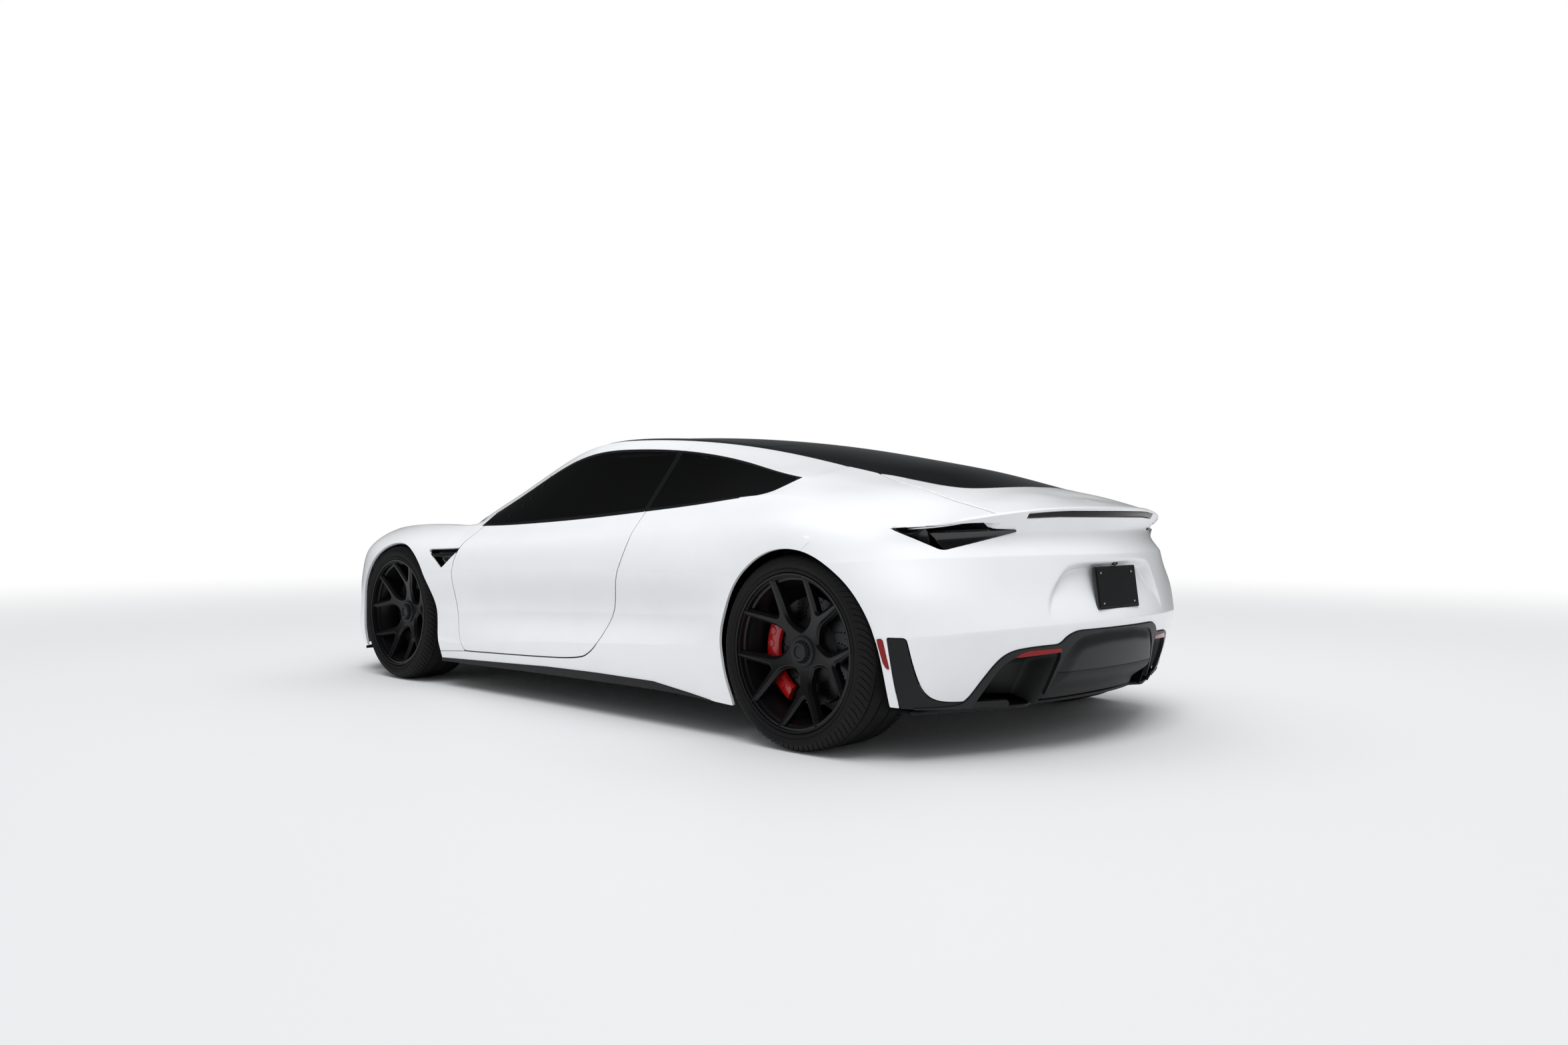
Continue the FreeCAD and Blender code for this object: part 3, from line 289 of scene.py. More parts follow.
def clean(co, no, tris):
    """Merges equal points, drops empty faces and turns faces to agree with the normals."""
    key = np.round(co * 2e6).astype(np.int64)
    _, keep, where = np.unique(key, axis=0, return_index=True, return_inverse=True)
    where = where.reshape(-1)
    tris = where[tris]
    tris = tris[(tris[:, 0] != tris[:, 1]) & (tris[:, 1] != tris[:, 2]) & (tris[:, 0] != tris[:, 2])]
    co, no = co[keep], no[keep]
    face = np.cross(co[tris[:, 1]] - co[tris[:, 0]], co[tris[:, 2]] - co[tris[:, 0]])
    tris = tris[np.linalg.norm(face, axis=1) > 1e-12]
    face = np.cross(co[tris[:, 1]] - co[tris[:, 0]], co[tris[:, 2]] - co[tris[:, 0]])
    wrong = (face * no[tris].sum(axis=1)).sum(axis=1) < 0
    tris[wrong] = tris[wrong][:, ::-1]
    return co, no, tris


def merged(*meshes):
    co, no, tris, start = [], [], [], 0
    for a, b, c in meshes:
        co.append(a)
        no.append(b)
        tris.append(c + start)
        start += len(a)
    return clean(np.concatenate(co), np.concatenate(no), np.concatenate(tris))


FLIP_Y = np.array([1.0, -1.0, 1.0])


def mirrored(mesh):
    co, no, tris = mesh
    return co * FLIP_Y, None if no is None else no * FLIP_Y, tris[:, ::-1]


def whole(mesh):
    """A left half and its mirror image, joined along the middle plane."""
    co, no, tris = mesh
    co = co.copy()
    on_middle = abs(co[:, 1]) < 2e-5
    co[on_middle, 1] = 0
    if no is not None:
        no = no.copy()
        no[on_middle, 1] = 0
    half = (co, no, tris)
    return merged(half, mirrored(half))


def clip(mesh, field):
    """The part of a mesh where the field is negative, cut along its zero line."""
    co, no, tris = mesh
    field = np.where(abs(field) < 2e-5, -1e-9, field)
    inside = field < 0
    count = inside[tris].sum(axis=1)
    kept = [tris[count == 3]]
    extra_co, extra_no, made = [], [], {}

    def between(i, j):
        pair = (min(i, j), max(i, j))
        if pair not in made:
            t = field[pair[0]] / (field[pair[0]] - field[pair[1]])
            made[pair] = len(co) + len(extra_co)
            extra_co.append(co[pair[0]] + (co[pair[1]] - co[pair[0]]) * t)
            n = no[pair[0]] + (no[pair[1]] - no[pair[0]]) * t
            extra_no.append(n / max(np.linalg.norm(n), 1e-9))
        return made[pair]
    new = []
    for tri in tris[(count == 1) | (count == 2)]:
        flags = inside[tri]
        k = int(np.argmax(flags)) if flags.sum() == 1 else int(np.argmin(flags))
        a, b, c = int(tri[k]), int(tri[(k + 1) % 3]), int(tri[(k + 2) % 3])
        if flags.sum() == 1:
            new.append((a, between(a, b), between(a, c)))
        else:
            p, q = between(a, b), between(a, c)
            new += [(p, b, c), (p, c, q)]
    if new:
        kept.append(np.array(new))
    tris = np.concatenate(kept)
    if extra_co:
        co, no = np.concatenate([co, extra_co]), np.concatenate([no, extra_no])
    used, where = np.unique(tris, return_inverse=True)
    return clean(co[used], no[used], where.reshape(-1, 3))


SIDE, PLAN, END = [0, 2], [0, 1], [1, 2]
TURNED = np.array([[-0.716, 0.0], [-0.698, 0.0], [0.0, 1.0]])      # seen square to the tail's left corner


def seen(mesh, view):
    """The points of a mesh in one of the flat views."""
    return mesh[0] @ view if isinstance(view, np.ndarray) else mesh[0][:, view]


def rounded(points, radius):
    """Outline with its corners rounded; a large radius makes one smooth curve of it."""
    points = [np.array(p, float) for p in points]
    out = []
    for i, p in enumerate(points):
        r = radius[i] if hasattr(radius, "__len__") else radius
        if r <= 0:
            out.append(p)
            continue
        a, b = points[i - 1] - p, points[(i + 1) % len(points)] - p
        la, lb = np.linalg.norm(a), np.linalg.norm(b)
        start, end = p + a / la * min(r, la / 2), p + b / lb * min(r, lb / 2)
        for t in np.linspace(0, 1, 9):
            out.append((1 - t) ** 2 * start + 2 * t * (1 - t) * p + t * t * end)
    return np.array(out)


def rectangle(half_a, half_b):
    return [(-half_a, -half_b), (half_a, -half_b), (half_a, half_b), (-half_a, half_b)]


def to_segment(points, p, q):
    """Distance of points to a straight line from p to q, and the share of the way along it."""
    d = q - p
    t = np.clip(((points - p) @ d) / max(d @ d, 1e-12), 0, 1)
    return np.linalg.norm(points - p - t[:, None] * d, axis=1), t


def distance(points, outline):
    """Distance to a closed outline, negative inside."""
    a = np.array(outline)
    best = np.full(len(points), 1e9)
    winding = np.zeros(len(points), bool)
    for p, q in zip(a, np.roll(a, -1, axis=0)):
        best = np.minimum(best, to_segment(points, p, q)[0])
        rise = q[1] - p[1]
        if abs(rise) > 1e-12:
            crosses = (p[1] > points[:, 1]) != (q[1] > points[:, 1])
            winding ^= crosses & (points[:, 0] < p[0] + (points[:, 1] - p[1]) / rise * (q[0] - p[0]))
    return np.where(winding, -best, best)


def beyond(mesh, view, outline):
    """Distance of a mesh's points to an outline in a flat view, negative inside."""
    return distance(seen(mesh, view), outline)


def kept_in(mesh, view, outline, gap=0.0):
    return clip(mesh, beyond(mesh, view, outline) + gap)


def cut_out(mesh, view, outline, gap=0.0):
    return clip(mesh, gap - beyond(mesh, view, outline))


def offset(mesh, depth):
    co, no, tris = mesh
    return co - no * depth, no, tris


def rim_edges(tris):
    """Directed boundary edges."""
    edges = np.concatenate([tris[:, [0, 1]], tris[:, [1, 2]], tris[:, [2, 0]]])
    code = edges[:, 0].astype(np.int64) * 10 ** 7 + edges[:, 1]
    back = edges[:, 1].astype(np.int64) * 10 ** 7 + edges[:, 0]
    return edges[~np.isin(code, back)]


def rim_of(co, no, tris):
    """Boundary edges of a surface, and the way out of it at each of its points."""
    edges = rim_edges(tris)
    across = np.cross(co[edges[:, 1]] - co[edges[:, 0]], no[edges[:, 0]] + no[edges[:, 1]])
    away = np.zeros_like(co)
    np.add.at(away, edges[:, 0], across)
    np.add.at(away, edges[:, 1], across)
    return edges, unit(away)


def band(above, below):
    """Faces between two rings of edges."""
    return [np.stack([above[:, 1], above[:, 0], below[:, 0]], -1),
            np.stack([above[:, 1], below[:, 0], below[:, 1]], -1)]


def panel(mesh, wall=WALL, radius=0.0015, skip_middle=False, way=None):
    """Closed panel: the outer surface, a rounded edge, its side wall and an inner surface.

    The walls follow the surface's normals, or one way for all of them.
    """
    co, front, tris = mesh
    no = front if way is None else np.tile(np.array(way, float), (len(co), 1))
    edges, away = rim_of(co, no, tris)
    if skip_middle:
        on_middle = abs(co[:, 1]) < 2e-5
        edges = edges[~(on_middle[edges[:, 0]] & on_middle[edges[:, 1]])]
        away[on_middle, 1] = 0
    rim = np.unique(edges)
    where = np.full(len(co), -1)
    where[rim] = np.arange(len(rim))
    p, n, t = co[rim], no[rim], away[rim]
    depth = max(wall, radius * 1.5)
    rings = [(radius * math.sin(a), radius * (1 - math.cos(a)), a)
             for a in (math.pi / 6, math.pi / 3, math.pi / 2)]
    points, normals, faces, previous = [co], [front], [tris], edges
    for k, (reach, drop, angle) in enumerate(rings + [(radius, depth, math.pi / 2)]):
        points.append(p + t * reach - n * drop)
        normals.append(n * math.cos(angle) + t * math.sin(angle))
        here = where[edges] + len(co) + k * len(rim)
        faces += band(previous, here)
        previous = here
    inner = len(co) + (len(rings) + 1) * len(rim)
    points.append(co - no * depth)
    normals.append(-no)
    faces += [tris[:, ::-1] + inner] + band(previous, edges + inner)
    return np.concatenate(points), np.concatenate(normals), np.concatenate(faces)


def whole_panel(mesh, wall=WALL, radius=0.0015):
    """Panel that crosses the middle plane, from its left half."""
    return whole(panel(mesh, wall, radius, skip_middle=True))


def wall_of(mesh, start, end, thick=0.003):
    """Thin closed wall down from the boundary of a surface."""
    co, no, tris = mesh
    edges, away = rim_of(co, no, tris)
    rim = np.unique(edges)
    where = np.full(len(co), -1)
    where[rim] = np.arange(len(rim))
    rings = [(0, start), (0, end), (thick, end), (thick, start)]
    points = [co[rim] + away[rim] * reach - no[rim] * drop for reach, drop in rings]
    here = where[edges]
    faces = [f for k in range(4) for f in band(here + k * len(rim), here + (k + 1) % 4 * len(rim))]
    return np.concatenate(points), None, np.concatenate(faces)


def add_piece(name, mesh, material, body="body", nodes=()):
    """A mesh object with its shading normals, its finish and its place in the frame."""
    co, no, tris = mesh
    data = bpy.data.meshes.new(name)
    data.vertices.add(len(co))
    data.vertices.foreach_set("co", co.astype(np.float32).ravel())
    data.loops.add(len(tris) * 3)
    data.loops.foreach_set("vertex_index", tris.astype(np.int32).ravel())
    data.polygons.add(len(tris))
    data.polygons.foreach_set("loop_start", np.arange(0, len(tris) * 3, 3, dtype=np.int32))
    data.polygons.foreach_set("use_smooth", np.ones(len(tris), bool))
    data.update(calc_edges=True)
    data.validate()
    if no is None:
        smooth_by_angle(data)
    elif len(data.loops) == len(tris) * 3:
        data.normals_split_custom_set_from_vertices(no.astype(np.float32))
    return finished(bpy.data.objects.new(name, data), material, body, nodes)


def smooth_by_angle(data):
    """Faces of a plain solid turned outwards, smooth up to an angle between them."""
    shell = bmesh.new()
    shell.from_mesh(data)
    bmesh.ops.remove_doubles(shell, verts=shell.verts, dist=1e-6)
    bmesh.ops.recalc_face_normals(shell, faces=shell.faces)
    shell.to_mesh(data)
    shell.free()
    data.set_sharp_from_angle(angle=math.radians(SHARP_ANGLE))


def finished(obj, material, body="body", nodes=()):
    """An object with its finish, the body it rides on and the nodes it stands for."""
    if obj.name not in bpy.context.scene.collection.objects:
        bpy.context.scene.collection.objects.link(obj)
    obj.data.materials.clear()
    obj.data.materials.append(material)
    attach(obj, body)
    if nodes:
        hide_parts(*nodes)
    return obj


def add_pair(name, mesh, material, body="body", node_name=None, shared=None, slot=None):
    """A left piece and its mirror image; node_name has a node on each side, shared is one for both."""
    for side, shape in (("_left", mesh), ("_right", mirrored(mesh))):
        nodes = [node_name + side] if node_name else [shared] if shared and side == "_left" else ()
        add_piece(name + side, shape, material, body if body == "body" else body + side, nodes)


# Materials and node trees

def linear(code):
    """Linear colour from an sRGB hex code."""
    values = [int(code[i:i + 2], 16) / 255 for i in (1, 3, 5)]
    return tuple(c / 12.92 if c <= 0.04045 else ((c + 0.055) / 1.055) ** 2.4 for c in values) + (1.0,)


def node(tree, kind, settings=(), **links):
    """Adds a node; settings set its values, links join its inputs to other nodes' outputs."""
    made = tree.nodes.new(kind)
    for key, value in dict(settings).items():
        if isinstance(key, str) and hasattr(made, key):
            setattr(made, key, value)
        else:
            made.inputs[key].default_value = value
    for key, source in links.items():
        numbered = key[0] == "i" and key[1:].isdigit()
        tree.links.new(source, made.inputs[int(key[1:]) if numbered else key.replace("_", " ")])
    return made


def new_material(name, slot, color, **settings):
    """A principled material, its tree and its shader; slot is not used."""
    material = bpy.data.materials.new(name)
    material.use_nodes = True
    tree = material.node_tree
    shader = tree.nodes["Principled BSDF"]
    shader.inputs["Base Color"].default_value = linear(color)
    for key, value in settings.items():
        shader.inputs[key.replace("_", " ")].default_value = value
    return material, tree, shader


def new_tree(name, inputs):
    """Geometry tree with named inputs after its geometry; gives the tree and its inputs' sockets."""
    tree = bpy.data.node_groups.new(name, "GeometryNodeTree")
    tree.interface.new_socket("Geometry", in_out="INPUT", socket_type="NodeSocketGeometry")
    for label, kind in inputs:
        tree.interface.new_socket(label, in_out="INPUT", socket_type="NodeSocket" + kind)
    tree.interface.new_socket("Geometry", in_out="OUTPUT", socket_type="NodeSocketGeometry")
    return tree, node(tree, "NodeGroupInput").outputs


def finish_tree(tree, instances, material):
    """Ends a tree with real geometry in its material."""
    real = node(tree, "GeometryNodeRealizeInstances", Geometry=instances)
    done = node(tree, "GeometryNodeSetMaterial", Geometry=real.outputs[0], Material=material)
    node(tree, "NodeGroupOutput", Geometry=done.outputs[0])
    return tree


def ring_tree():
    """Sets copies of the incoming part evenly round a circle, each turned outwards."""
    tree, given = new_tree("ring_of_parts", [("Count", "Int"), ("Radius", "Float"), ("Turn", "Vector"),
                                             ("Place", "Vector"), ("Material", "Material")])
    circle = node(tree, "GeometryNodeMeshCircle", Vertices=given["Count"], Radius=given["Radius"])
    index = node(tree, "GeometryNodeInputIndex")
    step = node(tree, "ShaderNodeMath", {"operation": "DIVIDE", 0: 2 * math.pi}, i1=given["Count"])
    angle = node(tree, "ShaderNodeMath", {"operation": "MULTIPLY"}, i0=index.outputs[0], i1=step.outputs[0])
    facing = node(tree, "ShaderNodeCombineXYZ", Z=angle.outputs[0])
    copies = node(tree, "GeometryNodeInstanceOnPoints", Points=circle.outputs[0], Instance=given["Geometry"],
                  Rotation=facing.outputs[0])
    upright = node(tree, "GeometryNodeTransform", Geometry=copies.outputs[0], Translation=given["Place"],
                   Rotation=given["Turn"])
    return finish_tree(tree, upright.outputs[0], given["Material"])


def stitch_tree():
    """Sets short stitches along every line of the incoming mesh."""
    tree, given = new_tree("stitches_on_lines", [("Spacing", "Float"), ("Length", "Float"),
                                                 ("Thickness", "Float"), ("Material", "Material")])
    curve = node(tree, "GeometryNodeMeshToCurve", Mesh=given["Geometry"])
    points = node(tree, "GeometryNodeCurveToPoints", {"mode": "LENGTH"}, Curve=curve.outputs[0],
                  Length=given["Spacing"])
    thread = node(tree, "GeometryNodeMeshCylinder", {"Vertices": 6}, Radius=given["Thickness"],
                  Depth=given["Length"])
    copies = node(tree, "GeometryNodeInstanceOnPoints", Points=points.outputs["Points"],
                  Instance=thread.outputs[0], Rotation=points.outputs["Rotation"])
    return finish_tree(tree, copies.outputs[0], given["Material"])


def seed_object(name, co, edges=(), faces=()):
    """Helper object in the scene, to be run through a modifier."""
    data = bpy.data.meshes.new(name)
    data.from_pydata([tuple(c) for c in co], list(edges), [list(f) for f in faces])
    obj = bpy.data.objects.new(name, data)
    bpy.context.scene.collection.objects.link(obj)
    return obj


def evaluated_mesh(obj):
    return bpy.data.meshes.new_from_object(obj.evaluated_get(bpy.context.evaluated_depsgraph_get()))


def grown(seed, tree, material, body="body", slot=None, **sizes):
    """Runs a geometry tree on a helper object and keeps the result on it as a plain mesh."""
    modifier = seed.modifiers.new("repeat", "NODES")
    modifier.node_group = tree
    sizes["Material"] = material
    for item in tree.interface.items_tree:
        if item.in_out == "INPUT" and item.name in sizes:
            modifier[item.identifier] = sizes[item.name]
    plain_mesh = evaluated_mesh(seed)
    seed.modifiers.remove(modifier)
    seed.data = plain_mesh
    return finished(seed, material, body, ())


# Master surface

cabin_points = [section_points(r) for r in CABIN_ROWS]
hood_points = [section_points(r) for r in HOOD_ROWS]
all_rows = np.array(cabin_points + hood_points[1:])
lower = all_rows[:, :RAIL]
step = np.linalg.norm(np.diff(lower, axis=0), axis=2).mean(axis=1)
KNOTS = np.concatenate([[0], np.cumsum(step)])
KNOTS -= np.interp(0, lower[:, SHOULDER, 0], KNOTS)
N_CABIN = len(cabin_points)
side_net = Net(lower, KNOTS)
cabin_net = Net(cabin_points, KNOTS[:N_CABIN], low=side_net)
hood_net = Net(hood_points, KNOTS[N_CABIN - 1:], low=side_net)


def screen_points(row):
    x, rail_y, rail_z, edge_y, edge_z, middle_z = row
    edge = (x, edge_y, edge_z)
    return np.array([[x, rail_y, rail_z], list(edge)] + crown_points(edge, (x, 0, middle_z))) * MM


screen_rows = [p[RAIL:] for p in cabin_points[-4:]] + [screen_points(r) for r in SCREEN_ROWS]
screen_steps = [0.180, 0.150, 0.130, 0.065]
screen_knots = list(KNOTS[N_CABIN - 4:N_CABIN]) + list(KNOTS[N_CABIN - 1] + np.cumsum(screen_steps))
screen_net = Net(screen_rows, screen_knots, first=RAIL)


def u_at(x, net=cabin_net, column=SHOULDER):
    """Value of u at which a column of a net reaches x."""
    u = np.linspace(net.knots[0], net.knots[-1], 2000)
    return float(np.interp(x, net.columns(u)[:, column - net.first, 0], u))


U_TAIL, U_COWL, U_NOSE = KNOTS[0], KNOTS[N_CABIN - 1], KNOTS[-1]


# Plain solids; they carry no shading normals of their own

def polygon_tris(points):
    return np.array(tessellate_polygon([[Vector((a, b, 0)) for a, b in points]])).reshape(-1, 3)


def lathe(profile, centre, steps=128, span=None):
    """Closed profile of (radius, y) turned about an axis along Y; a span is two angles from +X to +Z."""
    start, end = span or (0, 2 * math.pi)
    count = steps + (span is not None)
    angles = start + (end - start) * np.arange(count)[:, None] / steps
    r, y = np.array(profile).T
    co = np.stack([centre[0] + r * np.cos(angles), y + 0 * angles, centre[1] + r * np.sin(angles)], -1)
    tris = [grid_tris(count, len(r), span is None, True)]
    if span:
        ends = polygon_tris(profile)
        tris += [ends, ends + (count - 1) * len(r)]
    return co.reshape(-1, 3), None, np.concatenate(tris)


def prism(outline, view, low, high, bevel=0.0):
    """Solid between two planes on an outline, with bevelled ends; view holds the outline's two axes."""
    flat = np.array(outline, float)
    along = np.roll(flat, -1, 0) - np.roll(flat, 1, 0)
    area = (flat[:, 0] * np.roll(flat[:, 1], -1) - flat[:, 1] * np.roll(flat[:, 0], -1)).sum()
    out = unit(np.stack([along[:, 1], -along[:, 0]], -1) * np.sign(area))
    rings = [(low, 0), (high, 0)]
    if bevel:
        rings = [(low, bevel), (low + bevel, 0), (high - bevel, 0), (high, bevel)]
    co = np.zeros((len(rings), len(flat), 3))
    for ring, (at, inset) in zip(co, rings):
        ring[:, view] = flat - out * inset
        ring[:, 3 - sum(view)] = at
    caps = polygon_tris(flat)
    tris = [grid_tris(len(rings), len(flat), False, True), caps, caps + (len(rings) - 1) * len(flat)]
    return co.reshape(-1, 3), None, np.concatenate(tris)


def block(x, y, z, bevel=0.002):
    return prism([(x[0], z[0]), (x[1], z[0]), (x[1], z[1]), (x[0], z[1])], SIDE, y[0], y[1], bevel)


def tube(path, radius, steps=10, closed=False):
    """Round bar along a path."""
    path = np.array(path, float)
    along = unit(np.roll(path, -1, 0) - np.roll(path, 1, 0) if closed else np.gradient(path, axis=0))
    aside = unit(np.cross(along, np.array([0.02, 0.03, 1.0])))
    up = np.cross(aside, along)
    a = np.arange(steps)[:, None] * 2 * math.pi / steps
    co = [p + radius * (np.cos(a) * s + np.sin(a) * u) for p, s, u in zip(path, aside, up)]
    tris = [grid_tris(len(path), steps, closed, True)]
    if not closed:
        disc = polygon_tris([(math.cos(k), math.sin(k)) for k in a[:, 0]])
        tris += [disc, disc + (len(path) - 1) * steps]
    return np.concatenate(co), None, np.concatenate(tris)


def pillow(size, power, steps=24):
    """Soft box about the origin: flat faces that swell and round off towards its edges."""
    a = np.linspace(-math.pi / 2, math.pi / 2, steps + 1)[:, None]
    b = np.linspace(-math.pi, math.pi, 2 * steps, endpoint=False)[None, :]
    ways = np.broadcast_arrays(np.cos(a), np.cos(b), np.sin(b), np.sin(a))
    round_a, round_b, turn_b, turn_a = [np.sign(w) * abs(w) ** power for w in ways]
    co = np.stack([round_a * round_b, round_a * turn_b, turn_a], -1)
    return co.reshape(-1, 3) * np.array(size) / 2, None, grid_tris(steps + 1, 2 * steps, False, True)


def moved(mesh, place=(0, 0, 0), turn=0.0, axis="Y"):
    """Turned about an axis through the origin, in degrees, and then moved."""
    matrix = np.array(Matrix.Rotation(math.radians(turn), 3, axis))
    co, no, tris = mesh
    return co @ matrix.T + np.array(place), None if no is None else no @ matrix.T, tris


def joined(*meshes):
    """Several plain solids as one mesh."""
    co, tris, start = [], [], 0
    for a, _, c in meshes:
        co.append(a)
        tris.append(c + start)
        start += len(a)
    return np.concatenate(co), None, np.concatenate(tris)


def shaded(mesh):
    """The same mesh with smooth normals worked out from its faces."""
    co, _, tris = mesh
    face = np.cross(co[tris[:, 1]] - co[tris[:, 0]], co[tris[:, 2]] - co[tris[:, 0]])
    no = np.zeros_like(co)
    for k in range(3):
        np.add.at(no, tris[:, k], face)
    return co, unit(no), tris


def smooth(t):
    t = np.clip(t, 0, 1)
    return t * t * (3 - 2 * t)


# Shut lines and outlines in metres: side view (x, z), plan (x, y) and end view (y, z)
GAP = 0.0042               # half of a shut line and the rounding of its edge
SEAM = 0.0026              # the same at a fixed seam
LIP = 0.012                # turned edge of a panel at a wheel arch
DOOR = rounded([(0.706, 1.5), (0.709, 0.79), (0.75, 0.72), (0.80, 0.65), (0.82, 0.53), (0.81, 0.36),
                (0.77, 0.24), (0.73, 0.188), (0, 0.214), (-0.20, 0.232), (-0.25, 0.252), (-0.298, 0.283),
                (-0.331, 0.321), (-0.362, 0.386), (-0.406, 0.49), (-0.445, 0.585), (-0.487, 0.686),
                (-0.507, 0.77), (-0.53, 1.5)],
               [0, 0.01, 1, 1, 1, 1, 1, 0.02, 1, 1, 1, 1, 1, 1, 1, 1, 1, 1, 0])
ARCH_REAR = rounded([(-1.18, -0.05), (-1.144, 0.134), (-1.118, 0.196), (-1.098, 0.265), (-1.084, 0.372),
                     (-1.09, 0.44), (-1.132, 0.53), (-1.20, 0.615), (-1.28, 0.68), (-1.37, 0.716),
                     (-1.46, 0.725), (-1.55, 0.711), (-1.64, 0.668), (-1.72, 0.602), (-1.78, 0.52),
                     (-1.818, 0.43), (-1.834, 0.34), (-1.843, 0.22), (-1.85, -0.05)], 1.0)
ARCH_FRONT = rounded([(0.93, -0.05), (0.935, 0.13), (0.957, 0.22), (0.974, 0.32), (0.994, 0.42), (1.04, 0.52),
                      (1.10, 0.60), (1.18, 0.658), (1.27, 0.692), (1.36, 0.699), (1.45, 0.688), (1.54, 0.65),
                      (1.62, 0.59), (1.68, 0.51), (1.715, 0.42), (1.728, 0.32), (1.745, 0.14),
                      (1.762, -0.05)], 1.0)
ROCKER = [(-0.3, 0.236), (-0.20, 0.230), (0.0, 0.2125), (0.353, 0.203), (0.729, 0.187), (0.988, 0.168),
          (1.2, 0.150)]
BLADE_TOP = [(-1.2, 0.120), (-1.10, 0.127), (-0.90, 0.152), (-0.68, 0.176), (-0.3, 0.176), (0.06, 0.170),
             (0.9, 0.140), (1.2, 0.134)]
FRONT_SEAM = [(1.985, 1.5), (1.925, 0.64), (1.70, 0.56), (1.54, -0.05)]
REAR_SEAM = [(-1.825, 1.5), (-1.818, 0.80), (-1.80, 0.790), (-1.75, 0.782), (-1.668, 0.772), (-1.61, 0.763),
             (-1.556, 0.747), (-1.50, 0.70), (-1.47, 0.60), (-1.46, -0.05)]
SIDE_GLASS = rounded([(0.742, 0.70), (0.742, 1.3), (-1.04, 1.3), (-1.27, 1.012), (-1.262, 0.995),
                      (-1.238, 0.950), (-1.205, 0.922), (-1.107, 0.906), (-0.97, 0.70)],
                     [0, 0, 0, 0.01, 0.01, 0.03, 0.05, 0.1, 0])
DIVIDER = [(-0.478, 1.5), (-0.445, 1.12), (-0.50, 0.86), (-0.53, 0.70)]
FRONT_DIVIDER = [(0.38, 1.2), (0.46, 0.94), (0.60, 0.79), (0.66, 0.70)]
TAILGATE = [(-0.80, -1), (-0.80, 0.486), (-0.90, 0.476), (-1.20, 0.476), (-1.445, 0.486), (-1.60, 0.545),
            (-1.90, 0.545), (-2.3, 0.585), (-2.3, -1)]
REAR_GLASS = rounded([(-0.3, -1), (-0.3, 0.60), (-1.30, 0.60), (-1.46, 0.478), (-1.60, 0.458), (-1.72, 0.425),
                      (-1.80, 0.36), (-1.845, 0.20), (-1.862, 0), (-1.862, -1)],
                     [0, 0, 0, 0.1, 0.1, 0.1, 0.1, 0.1, 0, 0])
SCREEN_FOOT = [(0.60, 0), (0.60, 0.80), (0.82, 0.802), (1.0, 0.715), (1.15, 0.522), (1.28, 0.28), (1.345, 0)]
HOOD = rounded([(1.37, -1), (1.37, 0.0), (1.305, 0.28), (1.175, 0.53), (1.06, 0.64), (1.34, 0.622),
                (1.58, 0.602), (1.75, 0.582), (1.90, 0.46), (1.965, 0.30), (1.995, 0), (1.995, -1)],
               [0, 0, 0.2, 0.1, 0.03, 0.2, 0.2, 0.15, 0.1, 0.1, 0, 0])
HEADLAMP = rounded([(1.745, 0.668), (1.85, 0.640), (2.01, 0.590), (2.045, 0.612), (1.985, 0.645),
                    (1.85, 0.695), (1.76, 0.706)], 0.01)
INTAKE = rounded([(-1, 0.158), (-1, 0.322), (0.42, 0.322), (0.65, 0.292), (0.69, 0.24), (0.56, 0.168),
                  (0.30, 0.158)], [0, 0, 0.05, 0.03, 0.03, 0.03, 0.05])
SCOOP = rounded([(0.694, 0.795), (0.8735, 0.7195), (1.1500, 0.7828), (1.1450, 0.7905), (1.0560, 0.7935),
                 (1.0850, 0.8130), (0.9930, 0.8150), (0.8430, 0.8020)],
                [0.004, 0.02, 0.003, 0.003, 0.01, 0.01, 0.05, 0.05])
FIN = rounded([(0.832, 0.7795), (1.1405, 0.7903), (1.1440, 0.7850), (0.9000, 0.7290), (0.8800, 0.7290)],
              [0.004, 0.002, 0.002, 0.01, 0.01])
SCOOP_END = [(0.985, 0.84), (1.045, 0.7935), (1.30, 0.7935), (1.30, 0.84)]
CORNER = rounded([(-1.871, -0.05), (-1.869, 0.195), (-1.864, 0.31), (-1.857, 0.430), (-1.916, 0.4305),
                  (-1.924, 0.32), (-1.932, 0.235), (-1.955, 0.203), (-2.2, 0.200), (-2.2, -0.05)],
                 [0, 0.05, 0.1, 0.004, 0.012, 0.1, 0.05, 0.03, 0, 0])
REFLECTOR = rounded([(-1.841, 0.334), (-1.857, 0.318), (-1.8425, 0.4265), (-1.8225, 0.424)], 0.003)
DIFFUSER = rounded([(-1, -0.05), (-1, 0.436), (0.27, 0.434), (0.318, 0.418), (0.349, 0.389), (0.456, 0.386),
                    (0.536, 0.378), (0.578, 0.361), (0.61, 0.325), (0.642, 0.266), (0.668, 0.205),
                    (0.70, 0.192), (1.0, 0.192), (1.0, -0.05)],
                   [0, 0, 0.03, 0.02, 0.02, 0.05, 0.03, 0.03, 0.04, 0.04, 0.03, 0.03, 0, 0])
LOBE = rounded([(0.385, 0.10), (0.37, 0.19), (0.350, 0.288), (0.332, 0.35), (0.345, 0.368), (0.527, 0.355),
                (0.575, 0.329), (0.606, 0.272), (0.632, 0.20), (0.642, 0.10)], 0.025)
LOBE_LAMP = rounded([(0.335, 0.362), (0.342, 0.375), (0.485, 0.373), (0.537, 0.357), (0.52, 0.353)], 0.004)
MIDDLE_BLADE = rounded([(-1, 0.10), (-1, 0.428), (0.10, 0.427), (0.25, 0.413), (0.30, 0.37), (0.34, 0.286),
                        (0.369, 0.195), (0.38, 0.10)], [0, 0, 0.03, 0.04, 0.03, 0.03, 0.03, 0])
